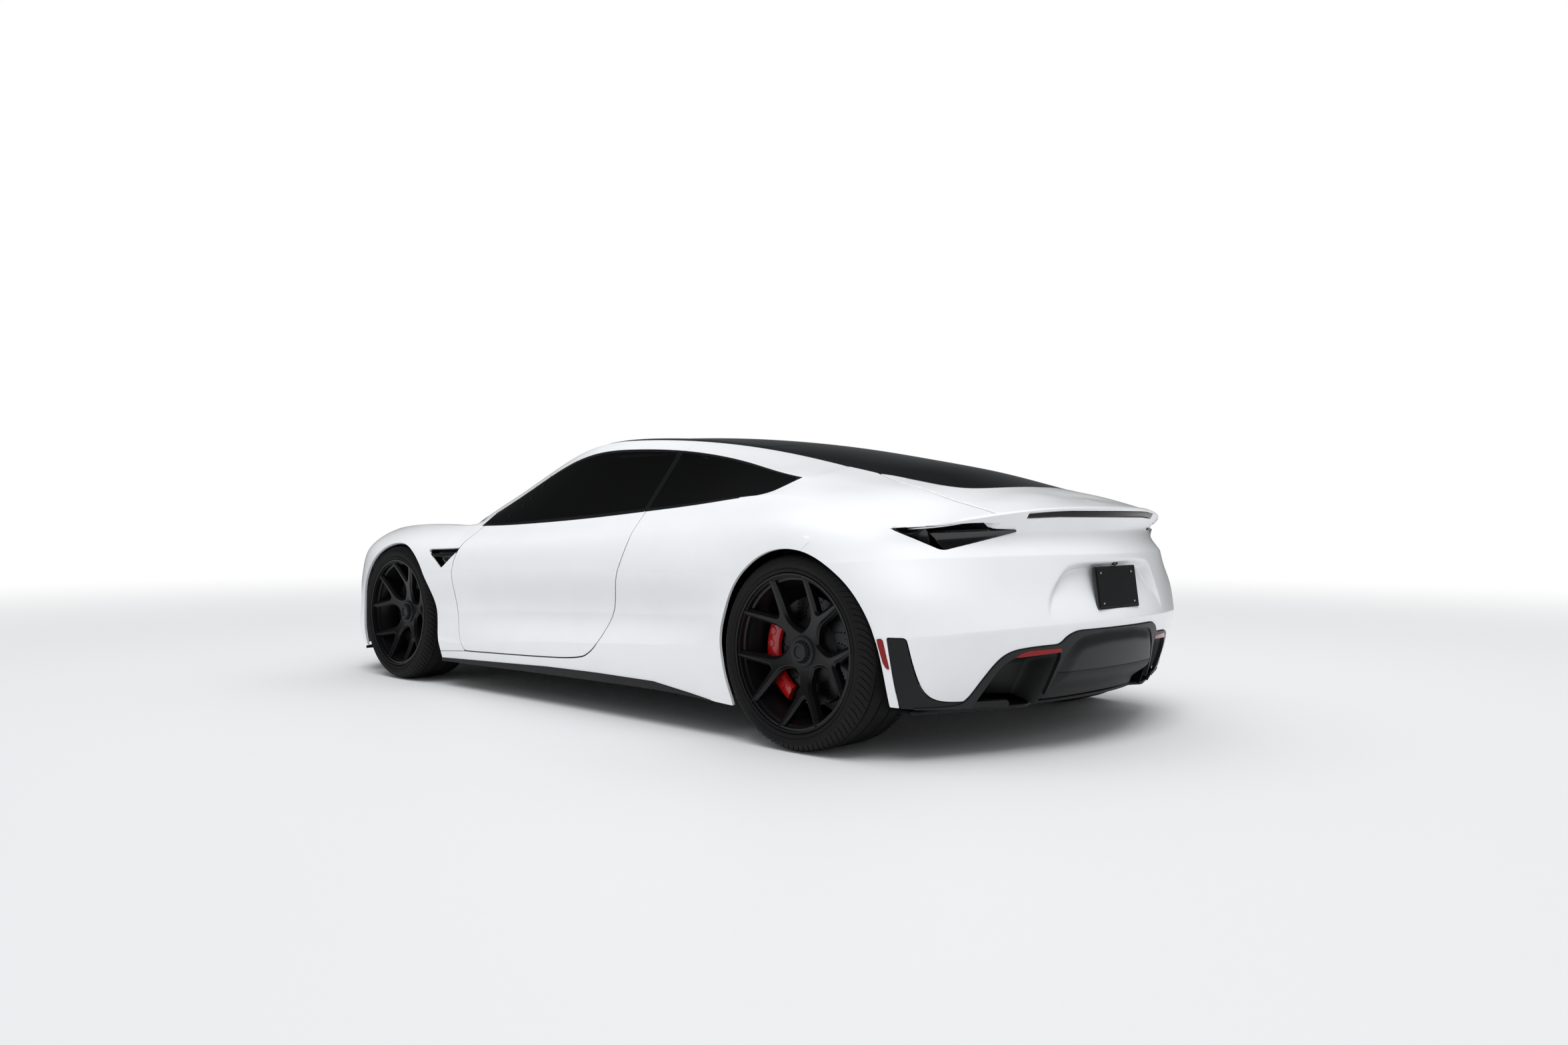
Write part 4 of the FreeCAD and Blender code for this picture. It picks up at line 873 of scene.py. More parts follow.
PLATE_BAY = rounded([(-1, 0.46), (-1, 0.676), (0.189, 0.674), (0.281, 0.664), (0.324, 0.630), (0.384, 0.567),
                     (0.415, 0.50), (0.40, 0.46)], [0, 0, 0.03, 0.05, 0.04, 0.08, 0.05, 0.04])
STRIP = [(-1, 0.834), (0.30, 0.834), (0.444, 0.829), (0.444, 0.847), (0.30, 0.855), (-1, 0.857)]
VENT = rounded([(1.050, 0.671), (0.985, 0.622), (0.912, 0.574), (0.865, 0.607), (0.80, 0.655), (0.752, 0.683),
                (0.90, 0.676)], [0.012, 0.05, 0.02, 0.03, 0.04, 0.01, 0.1])
VENT_SLAT = rounded([(1.02, 0.640), (0.90, 0.634), (0.78, 0.640), (0.78, 0.649), (0.90, 0.650),
                     (1.02, 0.650)], 0.003)


def line_field(mesh, line, view=SIDE):
    """Signed distance along the first axis from a line that runs from top to bottom; negative ahead of it."""
    at, height = mesh[0][:, view[0]], mesh[0][:, view[1]]
    points = np.array(line)[::-1]
    return np.interp(height, points[:, 1], points[:, 0]) - at


def height_field(mesh, line):
    """Height of a line from rear to front over each point; negative above the line."""
    points = np.array(line)
    return np.interp(mesh[0][:, 0], points[:, 0], points[:, 1]) - mesh[0][:, 2]


def ahead(mesh, line, gap=0.0):
    return clip(mesh, line_field(mesh, line) + gap)


def behind(mesh, line, gap=0.0):
    return clip(mesh, gap - line_field(mesh, line))


def keep(mesh, axis, above=None, below=None):
    """The part of a mesh above or below a value on one axis."""
    if above is not None:
        mesh = clip(mesh, above - mesh[0][:, axis])
    return clip(mesh, mesh[0][:, axis] - below) if below is not None else mesh


def outlined(mesh, view, outline, gap, axis, above):
    """What an outline takes out where another axis is above a value: the rest and the piece."""
    inside = beyond(mesh, view, outline)
    outside = above - mesh[0][:, axis]
    rest = clip(mesh, np.minimum(gap - inside, -outside))
    return rest, clip(mesh, np.maximum(inside + gap, outside))


def pressed(mesh, depth):
    """Mesh pushed inwards along its normals by a depth at each point, with new normals."""
    co, no, tris = mesh
    return shaded((co - no * depth[:, None], no, tris))


# Body panels

THIN = 0.001               # rounding at the edge of glass and small trim
SHEET = 0.003              # lamp covers and other thin sheets
PANE = 0.005               # windscreen, roof and rear glass
ROOF_FRONT, ROOF_REAR, BRIDGE_REAR = 0.140, -0.470, -0.800
VENT_DEPTH = 0.035
LAMP_DEPTH = 0.030


def side_surface(pitch=0.014, steps=9):
    rear = grid_mesh(cabin_net, SILL, BELT, (U_TAIL, U_COWL), pitch, steps)
    front = grid_mesh(hood_net, SILL, BELT, (U_COWL, U_NOSE), pitch, steps)
    return merged(rear, front)


def build_front(side, paint, glass, trim, black, silver):
    """Front fenders with their vents, the nose with its lamps, and the hood."""
    sail = grid_mesh(cabin_net, BELT, RAIL, (u_at(0.60), U_COWL))
    top = grid_mesh(hood_net, BELT, MIDDLE, (U_COWL, U_NOSE))
    top = merged(keep(sail, 0, above=0.742), cut_out(top, PLAN, SCREEN_FOOT, 0.004))
    front = keep(cut_out(side, SIDE, DOOR, GAP), 0, above=0.6)
    front = cut_out(merged(front, cut_out(top, PLAN, HOOD, GAP)), SIDE, ARCH_FRONT)
    fender_edge = np.interp(front[0][:, 0], [1.74, 1.90, 2.05], [0.76, 0.69, 0.57])
    front, lamp = outlined(front, SIDE, HEADLAMP, SEAM, 1, fender_edge)
    fender = behind(front, FRONT_SEAM, SEAM)
    fender, vent = cut_out(fender, SIDE, VENT), kept_in(fender, SIDE, VENT)
    fender = clip(fender, height_field(fender, ROCKER) + SEAM)
    add_pair("front_fender_skin", panel(fender, LIP), paint, node_name="front_fender")
    add_pair("vent_well", panel(offset(vent, VENT_DEPTH)), black)
    add_pair("vent_edge", wall_of(vent, 0.001, VENT_DEPTH + 0.001), trim)
    slat = kept_in(vent, SIDE, VENT_SLAT)
    add_pair("vent_slat", panel(offset(slat, 0.003), 0.03, THIN), black)
    build_nose(ahead(front, FRONT_SEAM, SEAM), paint, trim, black)
    build_headlamps(lamp, glass, black, silver)
    hood = kept_in(top, PLAN, HOOD, GAP)
    add_piece("hood_skin", whole_panel(hood), paint, "hood", ["hood"])
    inner = offset(kept_in(hood, PLAN, HOOD, 0.03), 0.006)
    add_piece("hood_frame", whole_panel(inner, 0.016), trim, "hood")


def build_nose(nose, paint, trim, black):
    """Front bumper with a framed intake of level slats, and a black blade under it."""
    to_mouth = np.where(nose[0][:, 0] > 1.7, beyond(nose, END, INTAKE), 1.0)
    bumper = clip(nose, SEAM - to_mouth)
    add_piece("front_bumper_skin", whole_panel(bumper, LIP), paint, nodes=["front_bumper"])
    mouth = clip(nose, to_mouth + SEAM)
    add_piece("intake_frame", whole_panel(offset(cut_out(mouth, END, INTAKE, -0.012), 0.002), 0.03), black)
    add_piece("intake_back", whole_panel(offset(mouth, 0.045)), trim, nodes=["front_grille"])
    slats = [whole_panel(offset(keep(mouth, 2, z, z + 0.006), 0.012), 0.02, THIN)
             for z in np.arange(0.18, 0.31, 0.022)]
    add_piece("intake_slats", merged(*slats), trim)
    u = np.linspace(u_at(1.88, side_net), U_NOSE, 40)
    edge = side_net.columns(u)[:, SILL, :2] + [0.010, -0.004]
    blade = prism(np.concatenate([edge, (edge * [1, -1])[::-1]]), PLAN, 0.106, 0.120, 0.004)
    add_piece("splitter_blade", blade, trim, nodes=["front_splitter"])


def build_headlamps(lamp, glass, black, silver):
    """Slim lamp: dark bowl, three lit modules with a light line under them, and a clear cover."""
    add_pair("headlamp_bowl", panel(offset(lamp, LAMP_DEPTH)), black, shared="headlamps")
    add_pair("headlamp_wall", wall_of(lamp, 0.002, LAMP_DEPTH + WALL), black)
    add_pair("headlamp_cover", panel(offset(lamp, 0.0005), SHEET, THIN), glass["clear"])
    line = keep(kept_in(lamp, SIDE, HEADLAMP, 0.008), 2, below=0.645)
    add_pair("headlamp_line", panel(offset(line, 0.02)), silver)
    order = np.argsort(lamp[0][:, 0])
    cell = lathe([(0.0001, 0.0), (0.014, 0.0), (0.016, 0.012), (0.012, 0.016), (0.0001, 0.018)], (0, 0), 32)
    cells = [moved(cell, (x, np.interp(x, *lamp[0][order, :2].T) - 0.04, z), -25, "Z")
             for x, z in ((1.80, 0.684), (1.845, 0.674), (1.89, 0.660))]
    add_pair("headlamp_modules", joined(*cells), silver)


def rear_side():
    """Painted side behind the front wheel without its door, arches and black sill, up to the belt."""
    tail = grid_mesh(cabin_net, SILL, BELT, (U_TAIL, u_at(-1.50)), 0.007, 15)
    middle = grid_mesh(cabin_net, SILL, BELT, (u_at(-1.50), U_COWL), 0.014, 15)
    front = grid_mesh(hood_net, SILL, CREASE, (U_COWL, u_at(1.10, hood_net)), 0.014, 15)
    back = cut_out(merged(tail, middle, keep(front, 0, below=1.05)), SIDE, DOOR, GAP)
    back = cut_out(cut_out(back, SIDE, ARCH_REAR), SIDE, ARCH_FRONT)
    back = clip(back, np.minimum(back[0][:, 0] - 0.3, SEAM - height_field(back, ROCKER)))
    return clip(back, np.where(back[0][:, 0] > -1.4, height_field(back, BLADE_TOP) + 0.001, -1.0))


def build_rear(paint, trim, black, lens, smoked):
    """Quarter panel, rear bumper with scoops, corner panels, light strip and plate bay."""
    back, scoop = outlined(rear_side(), TURNED, SCOOP, 0.001, 1, 0.40)
    back, corner = outlined(back, SIDE, CORNER, SEAM, 1, 0.5)
    deck = grid_mesh(cabin_net, BELT, EDGE, (U_TAIL, u_at(-0.45)), 0.012)
    deck = merged(deck, keep(grid_mesh(cabin_net, EDGE, MIDDLE, (U_TAIL, u_at(-1.3))), 0, below=-1.3))
    deck = keep(cut_out(deck, PLAN, TAILGATE, GAP), 0, below=ROOF_REAR - SEAM)
    rail = keep(rail_strip(-1.30, -0.40), 0, below=ROOF_REAR - SEAM)
    quarter = merged(ahead(back, REAR_SEAM, SEAM), cut_out(deck, SIDE, SIDE_GLASS), rail)
    add_pair("quarter_skin", panel(quarter, LIP), paint, node_name="quarter_panel")
    bumper = behind(back, REAR_SEAM, SEAM)
    bumper = clip(bumper, SEAM - np.where(bumper[0][:, 0] < -1.9, beyond(bumper, END, DIFFUSER), 1.0))
    strip = kept_in(bumper, END, STRIP, SEAM)
    bumper = pressed_bay(cut_out(bumper, END, STRIP, SEAM))
    add_piece("rear_bumper_skin", whole_panel(bumper, LIP), paint, nodes=["rear_bumper"])
    add_piece("light_strip", whole_panel(offset(strip, 0.002), 0.006), smoked)
    well = pressed(scoop, scoop_depth(scoop))
    inner_end = beyond(scoop, TURNED, SCOOP_END)
    add_pair("scoop_well", panel(clip(well, -inner_end)), black)
    add_pair("scoop_end", panel(clip(well, inner_end)), paint)
    fin = kept_in(scoop, TURNED, FIN)
    low = smooth((0.775 - fin[0][:, 2]) / 0.04)
    add_pair("scoop_fin", panel(pressed(fin, 0.007 * low - 0.005), 0.016, 0.002), black, shared="tail_lamps")
    add_pair("corner_panel", panel(offset(corner, -0.002), 0.01), trim)
    marker = kept_in(keep(back, 0, below=-1.7), SIDE, REFLECTOR)
    add_pair("side_reflector", panel(offset(marker, -0.0025), 0.004, THIN), lens)


def rail_strip(x0, x1):
    """White strip between the side glass and the roof glass."""
    return grid_mesh(cabin_net, RAIL, EDGE, (u_at(x0, cabin_net, RAIL), u_at(x1, cabin_net, RAIL)), 0.014)


def scoop_depth(mesh):
    """Deep ahead of the fin and running out to nothing at the scoop's inner end."""
    at = seen(mesh, TURNED)
    along = np.interp(at[:, 0], [0.70, 0.78, 0.93, 1.05, 1.15], [0.018, 0.045, 0.040, 0.010, 0.004])
    return along * smooth(-distance(at, SCOOP) / 0.010)


def pressed_bay(mesh):
    """Shallow bay round the number plate, deepest under its top edge."""
    depth = 0.030 * smooth(-beyond(mesh, END, PLATE_BAY) / 0.022) * smooth((mesh[0][:, 2] - 0.46) / 0.20)
    return pressed(mesh, np.where(mesh[0][:, 0] < -2.0, depth, 0.0))


def build_doors(side, paint, trim, black, glass):
    """Door skins with an inner panel, arm rest and pull; the glass stands on them."""
    add_pair("door_skin", panel(kept_in(side, SIDE, DOOR, GAP)), paint, "door", "door")
    inner = keep(kept_in(side, SIDE, DOOR, 0.022), 2, above=0.26)
    add_pair("door_inner", panel(offset(inner, 0.008), 0.075, 0.006), trim, "door")
    rest = prism(rounded([(-0.28, 0.55), (0.42, 0.56), (0.50, 0.60), (0.42, 0.625), (-0.28, 0.60)], 0.02),
                 SIDE, 0.80, 0.875, 0.012)
    pull = tube([(0.10, 0.815, 0.64), (0.12, 0.80, 0.67), (0.30, 0.80, 0.67), (0.32, 0.815, 0.64)], 0.009)
    add_pair("door_armrest", joined(rest, pull), trim, "door")
    window = keep(grid_mesh(cabin_net, BELT, RAIL, (u_at(-1.32), u_at(0.80))), 0, below=0.738)
    window = kept_in(window, SIDE, SIDE_GLASS, 0.001)
    glaze(ahead(window, DIVIDER, 0.002), "door_glass", glass["side"], black, "door", node_name="door_glass")
    glaze(behind(window, DIVIDER, 0.002), "quarter_glass", glass["side"], black, shared="quarter_glass")
    belt = grid_mesh(cabin_net, BELT - 0.015, BELT + 0.04, (u_at(-1.06), u_at(0.735)), 0.014, 3)
    front, rear = ahead(belt, DIVIDER, 0.003), behind(belt, DIVIDER, 0.003)
    add_pair("door_belt_moulding", panel(offset(front, -0.0005), 0.006, THIN), black, "door")
    add_pair("quarter_belt_moulding", panel(offset(rear, -0.0005), 0.006, THIN), black)
    slim = clip(window, abs(line_field(window, FRONT_DIVIDER)) - 0.006)
    add_pair("front_divider", panel(offset(slim, 0.0005), 0.010, THIN), black, "door")
    post = clip(window, abs(line_field(window, DIVIDER)) - 0.035)
    add_pair("divider_post", panel(offset(post, 0.016), 0.03, 0.002), black)


def glaze(mesh, name, glass, black, body="body", **nodes):
    """A pane with the black frame that shows round its edge."""
    co, _, tris = mesh
    to_edge = np.full(len(co), 1e9)
    for p, q in co[rim_edges(tris)]:
        to_edge = np.minimum(to_edge, to_segment(co, p, q)[0])
    add_pair(name + "_pane", panel(offset(mesh, 0.003), 0.004, THIN), glass, body, **nodes)
    add_pair(name + "_frame", panel(offset(clip(mesh, to_edge - 0.011), 0.0015), 0.009, THIN), black, body)


def build_skirts(side, trim):
    """Black blade along the bottom of the rocker."""
    low = cut_out(cut_out(keep(side, 0, -1.20, 1.02), SIDE, ARCH_REAR), SIDE, ARCH_FRONT)
    blade = clip(low, 0.001 - height_field(low, BLADE_TOP))
    add_pair("skirt_blade", panel(offset(blade, -0.004), 0.03, 0.002), trim, shared="side_skirts")


def build_valance(trim, satin, carbon, lens):
    """Diffuser: carbon flange round two deep lobes and a swelling middle that turns under, with a ramp; the
    middle's underside is in darker black plastic as painted shade.
    """
    tail = grid_mesh(cabin_net, SILL, WAIST, (U_TAIL, u_at(-1.80)), 0.006, 34)
    tail = kept_in(keep(tail, 0, below=-1.9), END, DIFFUSER, SEAM)
    flange = tail
    for outline in (LOBE, MIDDLE_BLADE, LOBE_LAMP):
        flange = cut_out(flange, END, outline, 0.001)
    add_piece("diffuser_flange", whole_panel(offset(flange, -0.005), 0.014, 0.002), carbon,
              nodes=["rear_valance"])
    lobe = kept_in(tail, END, LOBE)
    lobe = pressed(lobe, 0.010 + 0.080 * smooth(-beyond(lobe, END, LOBE) / 0.06))
    add_pair("diffuser_lobe", panel(lobe), trim)
    middle = kept_in(tail, END, MIDDLE_BLADE)
    bulge = 0.016 * smooth(-beyond(middle, END, MIDDLE_BLADE) / 0.05)
    middle = pressed(middle, 0.055 * smooth((0.285 - middle[0][:, 2]) / 0.10) - bulge)
    add_piece("diffuser_middle", whole_panel(keep(middle, 2, above=0.289), 0.01), satin)
    # Painted shade: where the middle turns under it is in the darker black plastic instead of the satin lacquer
    # of its top.
    add_piece("diffuser_under_painted_shade", whole_panel(keep(middle, 2, below=0.286), 0.01), trim)
    lamp = kept_in(tail, END, LOBE_LAMP)
    add_pair("rear_reflector", panel(offset(lamp, -0.006), 0.03, THIN), lens)
    build_ramp(trim)


def build_ramp(trim):
    """Flat floor of the diffuser inside the sill line, with low upright fins under it."""
    u = np.linspace(U_TAIL, u_at(-1.74, side_net), 40)
    edge = side_net.columns(u)[:, SILL, :2]
    edge[:, 0] += np.interp(edge[:, 1], [0.36, 0.41], [0.05, 0.008])
    edge = edge[edge[:, 1] < 0.86]
    outline = np.concatenate([edge, [[-1.74, 0.80]], [[-1.74, -0.80]], (edge * [1, -1])[::-1]])
    fin = rounded([(-1.76, 0.168), (-1.93, 0.168), (-1.90, 0.150), (-1.80, 0.142), (-1.76, 0.150)], 0.008)
    fins = [prism(fin, SIDE, y - 0.003, y + 0.003, 0.001) for y in (-0.52, -0.33, -0.12, 0.12, 0.33, 0.52)]
    add_piece("diffuser_ramp", joined(prism(outline, PLAN, 0.166, 0.178, 0.002), *fins), trim)


def build_plate(black, trim, chrome):
    """Blank number plate in its frame, leaning with the tail, with a camera above it."""
    lean, place = 8.0, (-2.183, 0, 0.577)
    frame = prism(rounded(rectangle(0.145, 0.079), 0.008), END, -0.004, 0.009, 0.0015)
    plate = prism(rounded(rectangle(0.137, 0.071), 0.006), END, -0.0065, -0.003, 0.001)
    bolt = lathe([(0.0001, 0), (0.0001, 0.003), (0.004, 0.0025), (0.005, 0)], (0, 0), 20)
    bolt = moved(bolt, turn=90, axis="Z")
    bolts = joined(*[moved(bolt, (-0.0065, y, z)) for y, z in rectangle(0.11, 0.055)])
    for name, mesh, finish, nodes in (("plate_frame", frame, black, ["number_plate"]),
                                      ("plate", plate, trim, ()), ("plate_bolts", bolts, chrome, ())):
        add_piece(name, moved(moved(mesh, turn=lean), place), finish, nodes=nodes)
    eye = lathe([(0.0001, 0.0), (0.011, 0.0), (0.013, 0.012), (0.010, 0.016), (0.006, 0.013), (0.0001, 0.015)],
                (0, 0), 32)
    add_piece("rear_camera", moved(eye, (-2.166, 0, 0.668), 90, "Z"), black)


def build_glasshouse(paint, glass):
    """Windscreen with its pillars, lift-off roof panel, fixed bridge, and the tailgate with its glass."""
    u_roof, u_foot = u_at(ROOF_FRONT + 0.001, cabin_net, MIDDLE), screen_net.knots[-1]
    screen = merged(grid_mesh(screen_net, EDGE, MIDDLE, (u_roof, u_foot)),
                    keep(grid_mesh(screen_net, RAIL, EDGE, (u_roof, u_foot)), 0, above=0.82))
    pillar = grid_mesh(cabin_net, RAIL, EDGE, (u_at(ROOF_FRONT + 0.001, cabin_net, RAIL), U_COWL))
    pillar, screen = keep(pillar, 0, above=ROOF_FRONT + SEAM), keep(screen, 0, above=ROOF_FRONT + SEAM)
    roof = grid_mesh(cabin_net, EDGE, MIDDLE, (u_at(-0.9), u_at(0.3)))
    roof_panel = keep(roof, 0, ROOF_REAR + SEAM, ROOF_FRONT - SEAM)
    bridge = keep(roof, 0, BRIDGE_REAR + SEAM, ROOF_REAR - SEAM)
    rear = merged(grid_mesh(cabin_net, EDGE, MIDDLE, (U_TAIL, u_at(-0.78)), 0.012),
                  grid_mesh(cabin_net, BELT, EDGE, (U_TAIL, u_at(-1.30)), 0.012))
    rear = keep(kept_in(rear, PLAN, TAILGATE, GAP), 0, below=BRIDGE_REAR - GAP)
    add_pair("screen_pillar", panel(pillar, 0.022), paint, shared="windscreen_frame")
    for name, pane, node_name in (("windscreen_pane", screen, "windscreen"),
                                  ("roof_panel_glass", roof_panel, "roof_glass"),
                                  ("roof_bridge_glass", bridge, "roof_bridge")):
        add_piece(name, whole_panel(offset(pane, 0.001), PANE), glass["roof"], nodes=[node_name])
    rail = keep(rail_strip(-0.9, 0.3), 0, ROOF_REAR + SEAM, ROOF_FRONT - SEAM)
    add_pair("roof_panel_rail", panel(rail, 0.02), paint, shared="roof_panel")
    add_piece("tailgate_skin", whole_panel(cut_out(rear, PLAN, REAR_GLASS, 0.001), 0.01), paint, "tailgate",
              ["tailgate"])
    pane = offset(kept_in(rear, PLAN, REAR_GLASS, 0.001), 0.001)
    add_piece("rear_pane", whole_panel(pane, PANE), glass["roof"], "tailgate", ["rear_glass"])


# Wheels; y is measured from the car's middle, and faces are given as depths behind the rim's outer plane

WHEELS = {
    "front": dict(x=1.340, radius=0.340, out=0.990, into=0.722, flange=0.271, bead=0.254, well=0.238,
                  first=24),
    "rear": dict(x=-1.460, radius=0.352, out=0.990, into=0.665, flange=0.284, bead=0.2667, well=0.250,
                 first=48),
}
SPOKES = 5
HUB_DEPTH, DISC_DEPTH = 0.071, 0.124
DISC_WALL, DISC_INNER = 0.008, 0.020      # thickness of each disc face, and how far in the inner one lies
QUARTER_TURN = math.pi / 2


def tapered_bar(points, a, b, half_a, half_b):
    """Distance to a bar between two points, whose half width changes along it."""
    away, share = to_segment(points, np.array(a), np.array(b))
    return away - (half_a + (half_b - half_a) * share)


def blend(a, b, reach):
    """Two distances as one form, with a fillet between them."""
    h = np.clip(0.5 + 0.5 * (b - a) / reach, 0, 1)
    return b + (a - b) * h - reach * h * (1 - h)


def spoke_field(flat, tip):
    """Outline of one Y spoke that points along its first axis, with the hub it grows from."""
    field = tapered_bar(flat, (0.03, 0), (0.138, 0), 0.036, 0.022)
    for side in (-1, 1):
        a = math.radians(19 * side)
        arm = tapered_bar(flat, (0.132, 0.004 * side), (tip * math.cos(a), tip * math.sin(a)), 0.0175, 0.0125)
        field = blend(field, arm, 0.016)
    return blend(field, np.linalg.norm(flat, axis=1) - 0.066, 0.045)


def polar_grid(r0, r1, a0, a1, steps):
    """Points on rings between two radii and two angles in degrees: radii and flat points."""
    r, a = np.meshgrid(np.linspace(r0, r1, steps[0]), np.radians(np.linspace(a0, a1, steps[1])), indexing="ij")
    return r, np.stack([(r * np.cos(a)).ravel(), (r * np.sin(a)).ravel()], -1)


def spoke_sector(spec):
    """One spoke's front surface: concave from lip to hub, with sloping edges."""
    tip = spec["flange"] - 0.010
    r, flat = polar_grid(0.028, tip + 0.004, -36, 36, (64, 60))
    field = spoke_field(flat, tip)
    share = np.clip((r.ravel() - 0.06) / (tip - 0.06), 0, 1)
    y = spec["out"] - HUB_DEPTH + 0.060 * share ** 1.6 - 0.010 * smooth(1 + field / 0.010) ** 2
    co = np.stack([flat[:, 0], y, flat[:, 1]], -1)
    grid = co.reshape(*r.shape, 3)
    no = np.cross(np.gradient(grid, axis=1), np.gradient(grid, axis=0)).reshape(-1, 3)
    return clip((co, unit(no * np.sign(no[:, 1:2])), grid_tris(*r.shape)), field)


def spokes(spec):
    sector = spoke_sector(spec)
    ring = [moved(sector, turn=-(spec["first"] + 360 / SPOKES * k)) for k in range(SPOKES)]
    return moved(panel(merged(*ring), 0.026, 0.0015, way=(0, 1, 0)), (spec["x"], 0, spec["radius"]))


def barrel(spec):
    """Rim round the spokes: outer lip, bead seats and well."""
    out, into = spec["out"] - 0.006, spec["into"] + 0.006
    flange, bead, well = spec["flange"], spec["bead"], spec["well"]
    profile = [(flange - 0.002, out), (flange, out - 0.002), (flange, out - 0.008), (bead, out - 0.008),
               (bead, out - 0.045), (well, out - 0.066), (well, into + 0.060), (bead, into + 0.040),
               (bead, into + 0.008), (flange, into + 0.008), (flange, into), (bead - 0.009, into),
               (bead - 0.009, into + 0.042), (well - 0.009, into + 0.062), (well - 0.009, out - 0.070),
               (bead - 0.010, out - 0.048), (bead - 0.008, out - 0.030), (flange - 0.012, out - 0.024),
               (flange - 0.009, out - 0.010), (flange - 0.008, out - 0.001)]
    return lathe(profile, (spec["x"], spec["radius"]), 160)


def hub_parts(spec):
    """Hub barrel behind the spokes, centre nut with a toothed ring, and its cap."""
    at, face = (spec["x"], spec["radius"]), spec["out"] - HUB_DEPTH
    hub = lathe([(0.031, face - 0.052), (0.070, face - 0.052), (0.068, face - 0.02), (0.060, face - 0.002),
                 (0.058, face + 0.002), (0.031, face + 0.002)], at, 64)
    ring = lathe([(0.040, face), (0.055, face), (0.055, face + 0.006), (0.052, face + 0.009),
                  (0.040, face + 0.009)], at, 64)
    nut = lathe([(0.0001, face), (0.036, face), (0.036, face + 0.018), (0.032, face + 0.024),
                 (0.024, face + 0.024), (0.022, face + 0.019), (0.0001, face + 0.019)], at, 48)
    return joined(hub, ring, nut)


def build_rings(spec, place, side, dark, iron):
    """Teeth of the centre nut's ring, pins of the disc's bell and the vanes between its faces."""
    face, disc_face = spec["out"] - HUB_DEPTH, spec["out"] - DISC_DEPTH
    tooth = prism(rectangle(0.003, 0.0028), PLAN, 0.0, 0.011, 0.0008)
    pin = lathe([(0.0001, 0), (0.0001, 0.005), (0.005, 0.005), (0.006, 0)], (0, 0), 16)
    pin = moved(pin, turn=90, axis="X")
    vane = prism(rectangle(0.035, 0.003), PLAN, 0.0, 0.014)
    for name, shape, count, radius, y, finish in (
            ("hub_teeth_", tooth, 20, 0.039, face + 0.004, dark),
            ("disc_pins_", pin, 10, 0.117, disc_face - 0.003, dark),
            ("disc_vanes_", vane, 30, 0.156, disc_face - DISC_INNER - 0.001, iron)):
        seed = seed_object(name + place, shape[0], (), shape[2])
        grown(seed, RING, finish, "wheel_" + place, Count=count, Radius=radius,
              Turn=(-side * QUARTER_TURN, 0.0, 0.0), Place=(spec["x"], side * y, spec["radius"]))
        smooth_by_angle(seed.data)


def tyre_profile(spec):
    """Half of the tyre's outside from its bead to the middle of the tread: radius, y from middle, cut."""
    h = (spec["out"] - spec["into"]) / 2
    r, f = spec["radius"], spec["flange"]
    side = [(spec["bead"] + 0.0005, h - 0.015, 0), (f + 0.001, h - 0.0145, 0), (f + 0.003, h - 0.006, 0),
            (f + 0.007, h - 0.0025, 0), (f + 0.011, h - 0.0015, 0), (f + 0.014, h - 0.003, 0),
            (f + 0.016, h - 0.0055, 0), (f + 0.019, h - 0.0035, 0), (r - 0.040, h - 0.001, 0),
            (r - 0.036, h - 0.001, 0), (r - 0.0355, h - 0.002, 0), (r - 0.030, h - 0.0015, 0),
            (r - 0.026, h - 0.003, 0.4), (r - 0.018, h - 0.008, 1), (r - 0.0105, h - 0.016, 1),
            (r - 0.006, h - 0.026, 1), (r - 0.0035, h - 0.040, 1), (r - 0.0028, h - 0.0465, 0.6)]
    for middle in (0.60 * h, 0.22 * h):
        edge = r - 0.002 * (middle / h)
        side += [(edge, middle + 0.005, 0), (edge - 0.006, middle + 0.004, 0),
                 (edge - 0.006, middle - 0.004, 0), (edge, middle - 0.005, 0)]
    return side


def tyre(spec, cuts=88):
    """Tyre with two pairs of grooves round it and slanting cuts across its shoulders."""
    half = tyre_profile(spec)
    middle, h = (spec["out"] + spec["into"]) / 2, (spec["out"] - spec["into"]) / 2
    r, f = spec["radius"], spec["bead"]
    inside = [(f + 0.0005, -(h - 0.03), 0), (r - 0.035, -(h - 0.014), 0), (r - 0.014, -(h - 0.035), 0),
              (r - 0.014, h - 0.035, 0), (r - 0.035, h - 0.014, 0), (f + 0.0005, h - 0.03, 0)]
    reach, y, depth = np.array(half + [(a, -b, c) for a, b, c in half[::-1]] + inside).T[:, None, :]
    marks = np.array([0.0, 0.03, 0.14, 0.17, 0.58])      # shares of one pitch; the cut is deep at two of them
    steps = cuts * len(marks)
    turns = (np.arange(cuts)[:, None] + marks[None, :]).reshape(-1, 1) / cuts
    deep = np.isin(np.arange(steps) % len(marks), (1, 2))[:, None]
    radius = reach - np.where(deep, 0.006, 0.0) * depth
    angle = 2 * math.pi * turns + 0.9 * np.minimum(h - abs(y), 0.05) / r * np.sign(y)
    co = np.stack([spec["x"] + radius * np.cos(angle), middle + y + 0 * angle,
                   spec["radius"] + radius * np.sin(angle)], -1)
    return co.reshape(-1, 3), None, grid_tris(steps, reach.shape[1], True, True)


